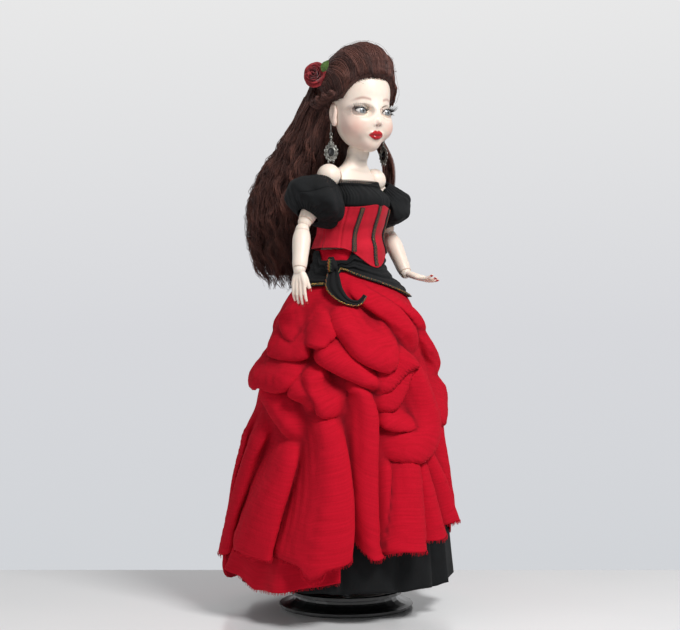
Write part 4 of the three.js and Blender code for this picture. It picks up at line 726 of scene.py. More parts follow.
# Forms that run together into the head, the face and the lips, as (middle, size)
headForms = (((0, 0, 455), (27, 31, 33)), ((0, -8, 432), (24.5, 24.3, 27)),
             ((0, -17, 412.5), (10.5, 10.5, 10.5)), ((-12, -16.6, 424.5), (11.2, 11.2, 11.2)),
             ((12, -16.6, 424.5), (11.2, 11.2, 11.2)))
faceForms = (((0, -31, 426.6), (2.8, 4.5, 3.0)), ((0, -28.7, 434), (2.1, 2.9, 9)),
             ((-2.7, -29.7, 425.3), (1.8, 2.3, 1.8)), ((2.7, -29.7, 425.3), (1.8, 2.3, 1.8)),
             ((0, -27.2, 416.2), (6.6, 2.5, 3.9)))
lipForms = (((-2.3, -28.6, 417.6), (3.9, 1.6, 1.5)), ((2.3, -28.6, 417.6), (3.9, 1.6, 1.5)),
            ((0, -28.9, 413.9), (4.1, 1.9, 1.9)))


def ellipsoid(points, middle, size):
    part = (points - np.array(middle, float)) / np.array(size, float)
    return (np.sqrt((part ** 2).sum(-1)) - 1) * min(size)


def blended(a, b, width):
    share = np.maximum(width - np.abs(a - b), 0) / width
    return np.minimum(a, b) - share * share * width * 0.25


def withForms(near, points, forms, width):
    for form in forms:
        near = blended(near, ellipsoid(points, *form), width)
    return near


def withHollow(near, points, middle, size, width):
    return -blended(-near, ellipsoid(points, middle, size), width)


def headField(points):
    near = withForms(ellipsoid(points, *headForms[0]), points, headForms[1:], head["blend"])
    x, y, z, radius = head["socket"]
    for side in (-1, 1):
        near = withHollow(near, points, (side * x, y, z), (radius,) * 3, head["blend"])
    near = withForms(near, points, faceForms, 1.9)
    near = withForms(near, points, lipForms, 0.8)
    for side in (-1, 1):  # nostrils
        near = withHollow(near, points, (side * 1.5, -32.2, 423.6), (1.0, 1.6, 0.8), 0.6)
    return withHollow(near, points, (0, -31.4, 415.7), (6.3, 1.7, 0.45), 0.7)  # the line between the lips


def halved(passed, near, far, times=22):  # closes in on the place where passed() turns false
    for _ in range(times):
        half = (near + far) / 2
        on = passed(half)
        near, far = np.where(on, half, near), np.where(on, far, half)
    return near


def reachAlong(field, middle, way, reach=80, times=20):  # how far a field's inside goes along each way
    shape = way.shape[:-1]
    return halved(lambda half: field(middle + way * half[..., None]) < 0, np.zeros(shape),
                  np.full(shape, float(reach)), times)


def sphereWays(around, rows):  # turn and lift of directions to every side
    lift = (np.arange(rows) + 0.5) / rows * np.pi - np.pi / 2
    lift, turn = np.meshgrid(lift, turnsRound(around), indexing='ij')
    return lift, turn


def starSurface(field, middle, around, rows, reach):  # the far side of a field along each direction
    lift, turn = sphereWays(around, rows)
    way = np.stack([np.cos(turn) * np.cos(lift), np.sin(turn) * np.cos(lift), np.sin(lift)], -1)
    return middle + way * reachAlong(field, middle, way, reach, 22)[..., None]


def frontOf(field, x, z, start=-60.0):  # where the surface lies, seen from the front
    return halved(lambda half: field(np.stack([x, half, z], -1)) > 0, np.full(np.shape(x), start),
                  np.zeros(np.shape(x)))


headTurn = Matrix.Rotation(math.radians(head["turn"]), 3, 'Z')
headTurnRows = np.array(headTurn)


def toWorld(points):  # from the head's own axis to the doll's frame
    return np.asarray(points) @ headTurnRows.T + np.array([0, -head["forward"], 0])


def softSpot(x, z, middleX, middleZ, halfWidth, halfHeight, turn=0.0, power=1.0):
    dx, dz = x - middleX, z - middleZ
    c, s = math.cos(turn), math.sin(turn)
    far = ((c * dx + s * dz) / halfWidth) ** 2 + ((-s * dx + c * dz) / halfHeight) ** 2
    return np.exp(-far ** power)


def makeUp(points):  # where the face is painted with make-up and with painted shade, from places on its own axes
    x, y, z = points[..., 0], points[..., 1], points[..., 2]
    front = ease(-4, -12, y)
    side = np.abs(x)
    blush = 0.55 * softSpot(side, z, 18.5, 421.5, 7.5, 7.5) + 0.25 * softSpot(side, z, 10, 407, 12, 5)
    blush += 0.3 * softSpot(side, z, 0, 426, 3.2, 2.0) + 0.22 * softSpot(side, z, 24, 434, 7, 12)
    smoke = 0.95 * softSpot(side, z, 18.8, 437.8, 3.6, 2.5, 0.3) + 0.4 * softSpot(side, z, 15.5, 440.3, 5, 1.8)
    smoke += 0.35 * softSpot(side, z, 15.5, 433.3, 5, 1)
    arch = 446.1 + 1.6 * np.sin(np.clip((side - 6) / 15, 0, 1) * np.pi) - 0.16 * np.maximum(side - 14, 0)
    brow = 0.75 * bell(z - arch, 1.25) * ease(5.2, 7.0, side) * ease(22, 15, side)
    cupid = 419.9 - 0.75 * bell(side, 1.0) - 4.0 * (side / 7.2) ** 2.4
    floor = 411.7 + 3.7 * (side / 7.2) ** 2.0
    lips = ease(0.35, -0.25, z - cupid) * ease(-0.35, 0.25, z - floor) * ease(7.8, 7.2, side)
    # painted shade: the line between the lips and the nostrils are darkened nearly to black
    lipGapShade = bell(z - 415.75, 0.35) * ease(6.8, 5.5, side) * 0.75
    nostrilShade = 0.6 * softSpot(side, z, 1.55, 423.9, 0.85, 0.6)
    return {"blush": blush * front, "shadow": smoke * front, "brow": brow * front, "lips": lips * front,
            "dark": (lipGapShade + nostrilShade) * front}


def makeHead():
    middle = np.array(head["middle"], float)
    points = starSurface(headField, middle, head["around"], head["rows"], head["reach"])
    x, y, z = np.moveaxis(points, -1, 0)
    eyeX, _, eyeZ = head["eye"]
    wellX, wellZ, wellDepth = head["well"]
    for side in (-1, 1):  # the face sinks away under the lids, which are pieces of skin of their own
        well = ease(1.25, 0.85, np.hypot((x - side * eyeX) / wellX, (z - eyeZ) / wellZ)) * (y < 0)
        points[..., 1] += wellDepth * well
    layers = makeUp(points)
    piece = gridPiece("resinHead", toWorld(points), resin, capped=True, flip=True)
    paintAll(piece, layers)
    return settle(piece, "head", "resin_skin", "head_shell", "head_cap")


lids = {"around": 96, "rows": 26, "halfWidth": 10.6, "halfHeight": 6.9, "over": 0.45, "bulge": 0.35,
        "rim": 1.3}


def makeLids(side, name):  # skin round one eye, from the almond opening out onto the face
    eyeX, eyeY, eyeZ = head["eye"]
    halfWidth, up, down = head["opening"]
    turn, share = clothGrid(lids["around"], lids["rows"])
    high = np.where(np.sin(turn) > 0, up, down)
    corner = 1 - 0.16 * np.cos(2 * turn) ** 8
    almondX = np.cos(turn) * halfWidth * (0.94 + 0.06 * corner) + side * 0.7
    almondZ = np.sign(np.sin(turn)) * np.abs(np.sin(turn)) ** 1.25 * high + 0.9 * np.cos(turn) * side * 0.55
    outX, outZ = np.cos(turn) * lids["halfWidth"], np.sin(turn) * lids["halfHeight"]
    x = side * eyeX + almondX * (1 - share) + outX * share
    z = eyeZ + almondZ * (1 - share) + outZ * share
    far = np.hypot(x - side * eyeX, z - eyeZ)
    radius = head["eyeRadius"] + lids["over"] + lids["bulge"] * np.sin(np.pi * np.clip(share * 2, 0, 1))
    globe = eyeY - np.sqrt(np.maximum(radius ** 2 - far ** 2, 0.5))
    skin = frontOf(headField, x, z) - 0.1
    y = globe + (skin - globe) * ease(0.25, 0.95, share)
    y = np.minimum(y, np.where(share < 0.6, globe, y))
    points = np.stack([x, y, z], -1)
    edge = points[:1] + np.array([0, lids["rim"], 0])
    points = np.concatenate([edge, points])
    layers = makeUp(points)
    liner = np.concatenate([1 + 0 * turn[:1], ease(0.16, 0.0, share) * (0.45 + 0.55 * (np.sin(turn) > -0.2))])
    crease = np.concatenate([0 * turn[:1], bell(share - 0.42, 0.09) * (np.sin(turn) > 0.15) * 0.15])
    layers["shadow"] = np.clip(layers["shadow"] + crease, 0, 1)
    layers["dark"] = np.clip(layers["dark"] + liner * 0.9, 0, 1)
    piece = gridPiece(name + "EyeLids", toWorld(points), resin)
    paintAll(piece, layers)
    settle(piece, "head", "resin_skin")
    return points


def makeEye(side, name):
    eyeX, eyeY, eyeZ = head["eye"]
    gaze = Vector((side * 0.03 + 0.1, -1, 0.0)).normalized()
    bpy.ops.mesh.primitive_uv_sphere_add(segments=64, ring_count=48, radius=head["eyeRadius"] * mm)
    eye = bpy.context.object
    eye.name = name + "GlassEye"
    co = np.array([v.co for v in eye.data.vertices])
    ring = np.degrees(np.arccos(np.clip(co[:, 2] / (head["eyeRadius"] * mm), -1, 1)))
    co *= (1 + 0.05 * bell(ring, 20))[:, None]  # the cornea stands out a little
    spin = np.array(gaze.to_track_quat('Z', 'Y').to_matrix())
    co = co @ spin.T / mm + np.array([side * eyeX, eyeY, eyeZ])
    eye.data.vertices.foreach_set("co", (toWorld(co) * mm).ravel())
    eye.data.materials.append(glassEye)
    shadeSmooth(eye)
    paint(eye, "ring", ring / 38)
    settle(eye, "head", "eye_glass", name + "_eye")


# Lashes: curled strands along the upper edge and shorter ones below, each row as (first and last place on the
# edge, how many, length, which way they curl)
lashRows = ((4, 46, 46, 6.2, 1.0), (52, 92, 22, 2.6, -1.0))


def makeLashes(side, name, edge):
    rng = np.random.default_rng(11)
    lines = []
    around = edge.shape[1]
    for first, last, count, length, curl in lashRows:
        for i in np.linspace(first, last, count):
            root = edge[1, int(round(i)) % around] + np.array([0, -0.05, 0])
            sideways = (root[0] - side * head["eye"][0]) / 7.0
            outer = np.clip(sideways * side, -0.3, 1)
            reach = length * (0.62 + 0.38 * outer) * rng.uniform(0.85, 1.1)
            step = np.linspace(0, 1, 7)[:, None]
            way = np.array([sideways * 1.15 + rng.normal(0, 0.06), -0.75, 0])
            rise = curl * reach * (0.12 * step + 0.62 * step ** 2)
            lines.append(root + step * way * reach + np.array([0, 0, 1]) * rise)
    lashes = tubes(name + "LashStrands", [toWorld(line) for line in lines], 0.16, 4, blackLash,
                   lambda t: 1.05 - 0.85 * t)
    settle(lashes, "head", "lash_fibre", name + "_lashes")


def makeEar(side, name):  # shell-like: a rounded body with a lobe, a hollow and a fold before it
    def earField(points):
        near = ellipsoid(points, (side * 25.6, 1.0, 436.4), (2.4, 5.4, 9.2))
        near = blended(near, ellipsoid(points, (side * 25.4, -0.9, 428.2), (2.0, 2.9, 3.2)), 1.6)
        near = withHollow(near, points, (side * 29.0, 0.6, 437.4), (2.5, 3.6, 6.2), 0.8)
        return blended(near, ellipsoid(points, (side * 26.4, -1.4, 434.0), (1.1, 1.2, 2.6)), 0.8)

    points = starSurface(earField, np.array([side * 24.6, 0.9, 434.2]), 64, 60, 14)
    ear = gridPiece(name + "Ear", toWorld(points), resin, capped=True, flip=True)
    paint(ear, "blush", 0.25 + 0 * points[..., 0])
    settle(ear, "head", "resin_skin")


bothSides = ((-1, "right"), (1, "left"))
makeHead()
for side, name in bothSides:
    makeEar(side, name)
for side, name in bothSides:
    edge = makeLids(side, name)
    makeEye(side, name)
    makeLashes(side, name, edge)
print("head")

# Torso and limbs: turned-looking resin lofts, parted at their joints
torso = {"waist": 322, "neck": 403, "halfWidth": 30, "halfDepth": 27, "forward": 14.4,
         "width": (0.97, 0.98, 0.98, 0.97, 0.94, 0.9, 0.86, 0.42, 0.32),
         "depth": (0.89, 0.9, 0.93, 0.98, 0.97, 0.66, 0.46, 0.36, 0.35),
         "lean": (0.22, 0.32, 0.52, 0.68, 0.7, 0.5, 0.5, 0.72, 1)}


def onTorso(angle, height, lift, soft=False):
    place = (height - torso["waist"]) / (torso["neck"] - torso["waist"])
    read = eased if soft else lambda shares, at: np.interp(at, np.linspace(0, 1, len(shares)), shares)
    halfWidth = torso["halfWidth"] * read(torso["width"], place) + lift
    halfDepth = torso["halfDepth"] * read(torso["depth"], place) + lift
    return polar(angle, halfWidth, halfDepth, torso["forward"] * read(torso["lean"], place), height)


def offShoulder(points, side, radius):  # pushes what comes too near an arm's ball out to the radius
    away = points - np.array([side * shoulder["side"], -shoulder["forward"], shoulder["height"]])
    far = np.linalg.norm(away, axis=-1, keepdims=True)
    return far[..., 0], np.where(far < radius, points + away / np.maximum(far, 0.1) * (radius - far), points)


def makeTorso():
    points = onTorso(turnsRound(120)[None], np.linspace(324, 401.5, 110)[:, None], 0, True)
    for side in (-1, 1):  # collar bones, and shoulders rounded over the arm balls
        bone = 0.7 * softSpot(points[..., 0], points[..., 2], side * 9, 388.5, 9, 1.8, side * 0.12)
        points[..., 1] -= bone * (points[..., 1] < -8)
        points = offShoulder(points, side, shoulder["socket"])[1]
    piece = gridPiece("resinTorso", points, resin, capped=True, flip=True)
    rim = [np.abs(offShoulder(points, side, 0)[0] - shoulder["socket"]) for side in (-1, 1)]
    paint(piece, "seam", 0.7 * bell(np.minimum(*rim), 0.5))
    paint(piece, "blush", 0.1 * softSpot(points[..., 0], points[..., 2], 0, 378, 14, 6))
    return piece


def ballPiece(middle, radius, material=resin, segments=48, rings=32):
    bpy.ops.mesh.primitive_uv_sphere_add(segments=segments, ring_count=rings, radius=radius * mm,
                                         location=Vector(middle) * mm)
    bpy.ops.object.transform_apply(location=True)
    ball = bpy.context.object
    ball.data.materials.append(material)
    shadeSmooth(ball)
    return ball


def limbRings(start, end, radii, sides=48, rows=44):
    start, end = np.array(start, float), np.array(end, float)
    along = (end - start) / np.linalg.norm(end - start)
    across = np.cross(along, (0, 1, 0.2))
    across /= np.linalg.norm(across)
    other = np.cross(along, across)
    turn = turnsRound(sides)[None, :, None]
    share = np.linspace(0, 1, rows)
    radius = eased(radii, share)[:, None, None]
    middle = start + (end - start) * share[:, None]
    return middle[:, None] + radius * (np.cos(turn) * across + np.sin(turn) * other), share


def lipped(name, start, end, radii, body, *nodes):  # a limb with rounded, faintly darkened ends
    points, share = limbRings(start, end, radii)
    piece = gridPiece(name, points, resin, capped=True)
    darkerEnds = 0.6 * bell(np.minimum(share, 1 - share), 0.02)
    paint(piece, "seam", np.repeat(darkerEnds[:, None], points.shape[1], 1))
    outward(piece)
    return settle(piece, body, "resin_skin", *nodes)


# Each arm's pose: elbow and wrist, and the ways that the palm points and the fingers spread
arms = {"right": {"side": -1, "elbow": (-60, -4.5, 336), "wrist": (-74, -13, 298), "palm": (-0.12, -0.06, -1),
                  "spread": (-0.25, 1, 0)},
        "left": {"side": 1, "elbow": (54, -4.5, 335), "wrist": (52, -25.7, 297.5), "palm": (0.33, -0.88, -0.36),
                 "spread": (-0.9, -0.35, 0.1)}}
shoulder = {"side": 30.5, "forward": 7, "height": 381, "radius": 10.5, "socket": 11.2}
arm = {"elbowRadius": 6.0, "halfLink": 4, "wristRadius": 5.2, "upper": (6.5, 8.4, 8.9, 8.7, 8.2, 7.6, 7.5, 6.6),
       "forearm": (6.4, 7.4, 7.8, 7.6, 7.3, 6.9, 6.6, 6.4, 5.7)}
hand = {"palmLength": 16, "palmHalfWidth": 7, "palmHalfThickness": 3.1, "step": 0.7, "voxel": 0.42,
        "fingerLength": 16, "fingerRadius": 1.55,
        "fingers": ((-0.78, 0.93), (-0.27, 1.08), (0.25, 1.0), (0.74, 0.8)),
        "knuckles": ((-0.2, 1.5), (0.05, 1.16), (0.36, 1.02), (0.42, 1.06), (0.66, 0.9), (0.93, 0.72)),
        "thumb": ((0.3, 1.55), (0.6, 1.2), (0.8, 1.15), (1.1, 0.82))}


def thickRods(name, chains, material):  # rods of changing thickness, run together into one skin
    bpy.ops.mesh.primitive_ico_sphere_add(subdivisions=2, radius=1)
    ball = bpy.context.object
    unit = np.array([v.co for v in ball.data.vertices])
    sides = np.array([tuple(f.vertices) for f in ball.data.polygons])
    bpy.data.objects.remove(ball)
    places, sizes = [], []
    for points, radii in chains:
        points = np.array(points)
        along = np.append(0, np.cumsum(np.linalg.norm(np.diff(points, axis=0), axis=1)))
        at = np.append(np.arange(0, along[-1], hand["step"]), along[-1])
        places.append(np.stack([np.interp(at, along, points[:, k]) for k in range(3)], -1))
        sizes.append(np.interp(at, along, radii))
    places, sizes = np.concatenate(places), np.concatenate(sizes)
    points = (places[:, None] + unit[None] * sizes[:, None, None]).reshape(-1, 3)
    faces = (sides[None] + np.arange(len(places))[:, None, None] * len(unit)).reshape(-1, 3)
    piece = meshFrom(name, points, faces.tolist(), material)
    modify(piece, 'REMESH', mode='VOXEL', voxel_size=hand["voxel"] * mm)
    modify(piece, 'SMOOTH', factor=0.5, iterations=6)
    piece.data.materials.clear()
    piece.data.materials.append(material)
    shadeSmooth(piece)
    return piece


def makeHand(name, pose):  # palm, four fingers and a thumb, each a chain from the wrist
    wrist = np.array(pose["wrist"], float)
    along = np.array(pose["palm"], float) / np.linalg.norm(pose["palm"])
    spread = np.array(pose["spread"], float)
    across = spread - along * spread.dot(along)
    across /= np.linalg.norm(across)
    through = np.cross(along, across) * pose["side"]

    def at(down, aside, out):
        return wrist + along * down + across * aside + through * out

    palm, wide, thick = hand["palmLength"], hand["palmHalfWidth"], hand["palmHalfThickness"]
    chains, tips = [], []
    for i, (aside, reach) in enumerate(hand["fingers"]):
        length = hand["fingerLength"] * reach
        curl = 0.28 + 0.07 * i
        points = [at(1.5, aside * wide * 0.3, 0), at(palm * 0.5, aside * wide * 0.72, 0)]
        radii = [thick, 0.92 * thick]
        for share, size in hand["knuckles"]:
            bend = -max(share, 0) ** 2 * hand["fingerLength"] * curl
            points.append(at(palm * 0.92 + length * share, aside * wide * (0.96 + 0.26 * max(share, 0)), bend))
            radii.append(hand["fingerRadius"] * size)
        chains.append((points, radii))
        tips.append(points[-2:])
    points, radii = [at(2, 0, 0), at(palm * 0.28, -wide * 0.5, -thick * 0.2)], [thick, 0.95 * thick]
    for share, size in hand["thumb"]:
        points.append(at(palm * (0.28 + 0.77 * share), -wide * (0.5 + 0.82 * share ** 0.7),
                         -thick * (0.2 + 0.7 * share)))
        radii.append(hand["fingerRadius"] * size)
    chains.append((points, radii))
    tips.append(points[-2:])
    piece = thickRods(name + "Hand", chains, resin)
    co = np.array([v.co for v in piece.data.vertices]) / mm
    red, pink = np.zeros(len(co)), np.zeros(len(co))
    for before, tip in tips:
        way = (tip - before) / np.linalg.norm(tip - before)
        part = co - tip
        far = np.linalg.norm(part, axis=1)
        red = np.maximum(red, ease(-2.0, -1.4, part @ way) * ease(-0.3, 0.15, part @ through) * (far < 3))
        pink = np.maximum(pink, 0.35 * bell(far, 2.6))
    paint(piece, "nails", red)
    paint(piece, "blush", pink)
    joinInto(piece, [ballPiece(wrist, arm["wristRadius"])])
    settle(piece, name + "_hand", "resin_skin", name + "_hand")


def makeArm(name, pose):
    middle = np.array([pose["side"] * shoulder["side"], -shoulder["forward"], shoulder["height"]])
    elbow, wrist = np.array(pose["elbow"], float), np.array(pose["wrist"], float)
    along = (wrist - middle) / np.linalg.norm(wrist - middle)
    upper, lower = elbow - along * arm["halfLink"], elbow + along * arm["halfLink"]
    down = (upper - middle) / np.linalg.norm(upper - middle)
    pose["shoulder"], pose["down"] = middle, down
    bone = lipped(name + "UpperArm", middle + down * 5, upper - down * 1.8, arm["upper"], name + "_upper_arm")
    joinInto(bone, [ballPiece(middle, shoulder["radius"])])
    settle(bone, name + "_upper_arm", "resin_skin", name + "_upper_arm")
    link = ballPiece(upper, arm["elbowRadius"])
    joinInto(link, [ballPiece(lower, arm["elbowRadius"])])
    link.name = name + "ElbowLink"
    settle(link, name + "_elbow", "resin_skin", name + "_elbow")
    out = (wrist - lower) / np.linalg.norm(wrist - lower)
    lipped(name + "Forearm", lower + out * 1.4, wrist - out * 1.0, arm["forearm"], name + "_forearm",
           name + "_forearm")
    makeHand(name, pose)


body = joinInto(makeTorso(), [ballPiece((0, -torso["forward"], torso["neck"]), 9.9)])
settle(body, "torso", "resin_skin", "upper_torso")
for name, pose in arms.items():
    makeArm(name, pose)
print("torso and arms")

# Wig: a combed body of hair with a soft hairline, and locks of strands laid over it
wig = {"locks": 46, "strands": 34, "lockLift": 1.9, "strandRadius": 0.3, "babyHairs": 260, "fallLocks": 170,
       "fallStrands": 15, "fallRadius": 0.36, "loose": {"fall": 420, "crown": 60}, "wave": 3.1,
       "waveLength": 27, "top": 468, "end": 283, "halfWidth": 47, "halfDepth": 36, "back": 74,
       "width": (0.57, 0.68, 0.79, 0.88, 0.97, 1, 0.96, 0.81, 0.5),
       "depth": (0.5, 0.69, 0.75, 0.89, 1, 1, 0.88, 0.72, 0.39),
       "lean": (0.3, 0.38, 0.53, 0.735, 0.91, 0.99, 1.025, 1.06, 1.11),
       "farLocks": 20, "farRoute": ((18, 14, 456), (34, 6, 436), (47, 0, 415), (56, -2, 396), (61, 3, 378),
                                    (64, 14, 358), (61, 25, 338), (57, 29, 320))}
twist = {"strands": 190, "turns": 7.5, "radius": 6.4, "halfWidth": 36, "halfDepth": 40, "forward": 2.7,
         "top": 452, "sag": 12, "strandRadius": 0.42}
# The hair's edge: its height at places from before the brow to behind the nape, and the middle it grows round
hairline = ((-60, 468), (-31, 466), (-25, 463), (-18, 454), (-13, 448), (-6, 446.5), (2, 446), (5, 441),
            (7, 428), (12, 414), (60, 413))
crownMiddle = np.array([0, 0, 455.0])


def hairlineAt(y):
    return np.interp(y, *np.array(hairline, float).T)


def crownField(points):
    near = ellipsoid(points, (0, 2.7, 455), (34.2, 40, 39.3))
    near = blended(near, ellipsoid(points, (0, -6, 478), (26, 27, 21)), 8)
    comb = np.arctan2(points[..., 0], points[..., 2] - 434.5)
    ripple = 0.55 * np.cos(comb * 16 + 0.05 * points[..., 1]) + 0.35 * np.cos(comb * 29 + 1)
    return near - 0.8 * ripple + 1.4


def makeWigBody():
    points = starSurface(crownField, crownMiddle, 220, 150, 80)
    way = points - crownMiddle
    way /= np.linalg.norm(way, axis=-1, keepdims=True)
    scalp = reachAlong(headField, crownMiddle, way)
    skin = crownMiddle + way * scalp[..., None]
    share = ease(-0.3, 3.5, skin[..., 2] - hairlineAt(skin[..., 1])) ** 0.8
    crown = np.linalg.norm(points - crownMiddle, axis=-1)
    under = scalp - 0.9 - 8 * ease(0.1, 0, share)
    radius = under + (crown - under) * share
    points = crownMiddle + way * radius[..., None]
    piece = gridPiece("wigBody", toWorld(points), hairFibre, capped=True, flip=True)
    paint(piece, "lock", 0.15 + 0.25 * noiseField(points, 6))
    settle(piece, "head", "mohair", "wig_crown")


def onCrown(way, lift):
    way = way / np.linalg.norm(way, axis=-1, keepdims=True)
    reach = reachAlong(crownField, crownMiddle, way)
    return crownMiddle + way * (reach + lift)[..., None]


def hairPiece(name, lines, locks, radius, taper=lambda t: 1.1 - 0.5 * t, nodes=()):
    piece = tubes(name, lines, radius, 3, hairFibre, taper)
    paint(piece, "lock", np.repeat(locks, lines.shape[1] * 3))
    return settle(piece, "head", "mohair", *nodes)


def toTip(t):  # how a loose lock's strands thin
    return 1.15 - 0.8 * t


def rootAt(side, ahead):  # a place on the hairline, from its share to the side and ahead
    y = 3 - ahead * 36
    return np.array([side * 29, y, hairlineAt(y)])


def makeCrownLocks():
    rng = np.random.default_rng(21)
    lines, lifts, tones = [], [], []
    t = np.linspace(0, 1, 17)
    for k in range(wig["locks"]):
        turn = (k + 0.5) / wig["locks"] * 2 - 1  # from behind one ear, over the brow, to behind the other
        side = np.sin(turn * 1.72)
        ahead = np.cos(turn * 1.72)
        start = rootAt(side, ahead) + np.array([0, 0, 1.2]) - crownMiddle
        knot = np.array([side * 17, 34, 7 * ahead - 5 + rng.uniform(-3, 3)])
        over = (start + knot) / 2
        if ahead > 0:
            over = np.array([side * 22, -14 * ahead - 2, 40 * (0.35 + 0.65 * ahead)])
        tone = rng.uniform(0, 1)
        sway = rng.uniform(-1, 1, 3)
        for strand in range(wig["strands"]):
            aside = rng.uniform(-1, 1)
            shift = np.cross(knot - start, over)
            shift = shift / (np.linalg.norm(shift) + 1e-6) * aside * 3.0
            way = (((1 - t) ** 2)[:, None] * (start + shift) + (2 * t * (1 - t))[:, None] * (over + shift * 1.6)
                   + (t ** 2)[:, None] * (knot + shift * 1.2))
            swing = np.sin(t * 7 + sway[0] * 3)[:, None] * np.array([0.9, 0.2, 0.5]) * (1.2 + 0.6 * sway[1])
            lift = wig["lockLift"] * math.sqrt(1 - aside ** 2) * np.sin(np.pi * (t * 0.92 + 0.02)) ** 0.5
            lines.append(way + swing)
            lifts.append(lift - 0.5 + rng.uniform(-0.3, 0.5))
            tones.append(np.clip(tone + rng.normal(0, 0.16), 0, 1))
    points = onCrown(np.array(lines), np.array(lifts))
    hairPiece("crownLocks", toWorld(points), np.array(tones), wig["strandRadius"])


def makeBabyHairs():  # fine hairs that soften the edge of the wig on the forehead and temples
    rng = np.random.default_rng(25)
    t = np.linspace(0, 1, 10)
    lines = []
    for _ in range(wig["babyHairs"]):
        turn = rng.uniform(-1, 1)
        side, ahead = np.sin(turn * 1.5), np.cos(turn * 1.5)
        start = rootAt(side, ahead) - np.array([0, 0, rng.uniform(-1, 1.6)])
        back = np.array([side * 3 + rng.normal(0, 3), 9, 9 * (0.4 + 0.6 * ahead)]) * rng.uniform(0.7, 1.3)
        way = start - crownMiddle + t[:, None] * back + np.sin(t * 3)[:, None] * rng.normal(0, 0.8, 3)
        way /= np.linalg.norm(way, axis=-1, keepdims=True)
        skin, crown = reachAlong(headField, crownMiddle, way), reachAlong(crownField, crownMiddle, way)
        reach = skin + 0.1 + (np.maximum(crown, skin) - skin + 0.5) * ease(0, 0.6, t)
        lines.append(crownMiddle + way * reach[:, None])
    hairPiece("babyHairs", toWorld(np.array(lines)), rng.uniform(0.2, 0.7, len(lines)), 0.12)


def makeTwist():  # two plies of strands wound round each other, from temple to temple
    rng = np.random.default_rng(22)
    share = np.linspace(0, 1, 84)
    angle = (1.12 - 1.06 * share) * np.pi
    belly = np.maximum(np.sin(np.pi * share), 0)
    out = np.stack([np.cos(angle), np.sin(angle), 0 * angle], -1)
    middle = out * np.array([twist["halfWidth"], twist["halfDepth"], 0]) + np.array([0, twist["forward"], 0])
    middle[:, 2] = twist["top"] - belly * twist["sag"]
    swell = twist["radius"] * (0.35 + 0.65 * belly ** 0.4)
    lines, tones = [], []

    def spoke(turn):
        return np.cos(turn)[:, None] * out + np.sin(turn)[:, None] * np.array([0, 0, 1.0])

    for i in range(twist["strands"]):
        turn = share * 2 * twist["turns"] * np.pi + (i % 2) * np.pi
        own = spoke(turn + rng.uniform(0, 2 * np.pi))
        part = np.sqrt(rng.uniform(0.35, 1))
        aside = (spoke(turn) * 0.45 + own * 0.55 * part) * swell[:, None]
        lines.append(middle + aside + rng.normal(0, 0.25, 3))
        tones.append(rng.uniform(0.1, 0.9))
    hairPiece("twistedRoll", toWorld(np.array(lines)), np.array(tones), twist["strandRadius"],
              nodes=("hair_twist",))


def fallAt(share, angle, part):
    back = wig["back"] * eased(wig["lean"], share)
    halfWidth = wig["halfWidth"] * eased(wig["width"], share)
    halfDepth = wig["halfDepth"] * eased(wig["depth"], share)
    slide = back * math.sin(math.radians(head["turn"]))
    return np.stack([np.cos(angle) * halfWidth * part + slide, np.sin(angle) * halfDepth * part + back,
                     wig["top"] + (wig["end"] - wig["top"]) * share], -1)


def makeFall():
    angle, share = clothGrid(72, 60)
    share = 0.02 + 0.91 * share
    body = fallAt(share, angle, 0.7 + 0.05 * np.cos(9 * angle + 12 * share))
    core = gridPiece("fallBody", toWorld(body), hairFibre, capped=True)
    paint(core, "lock", 0.05 + 0 * body[..., 0])
    settle(core, "head", "mohair", "long_hair")
    rng = np.random.default_rng(23)
    t = np.linspace(0, 1, 28)
    lines, tones = [], []
    for k in range(wig["fallLocks"]):
        angle = rng.uniform(0, 2 * np.pi)
        part = 0.72 + 0.26 * rng.uniform() ** 0.6
        begin, end = rng.uniform(0.0, 0.12), rng.uniform(0.86, 1.02)
        phase, tone = rng.uniform(0, 2 * np.pi, 2), rng.uniform()
        length = wig["waveLength"] * rng.uniform(0.8, 1.25)
        for strand in range(wig["fallStrands"]):
            spread = rng.normal(0, 1, 2)
            along = begin + (end * rng.uniform(0.94, 1.0) - begin) * t
            line = fallAt(along, angle + 0.05 * spread[0] + 0.12 * (t - 0.5) * math.sin(phase[0]),
                          part + 0.03 * spread[1] * (1 - 0.4 * t))
            rise = line[:, 2] / length * 2 * np.pi
            size = wig["wave"] * ease(0.02, 0.35, t) * (0.7 + 0.5 * math.sin(phase[1]) ** 2)
            line[:, 0] += np.sin(rise + phase[0]) * size
            line[:, 1] += np.cos(rise + phase[0] + 0.5 * spread[0]) * size * 0.6
            lines.append(line)
            tones.append(np.clip(tone + rng.normal(0, 0.15), 0, 1))
    makeFarLocks(rng, t)
    lines, tones = toWorld(np.array(lines)), np.array(tones)
    third = len(lines) // 3 + 1
    for k, word in enumerate(("First", "Second", "Third")):
        part = slice(k * third, (k + 1) * third)
        hairPiece("fallLocks" + word, lines[part], tones[part], wig["fallRadius"], toTip)


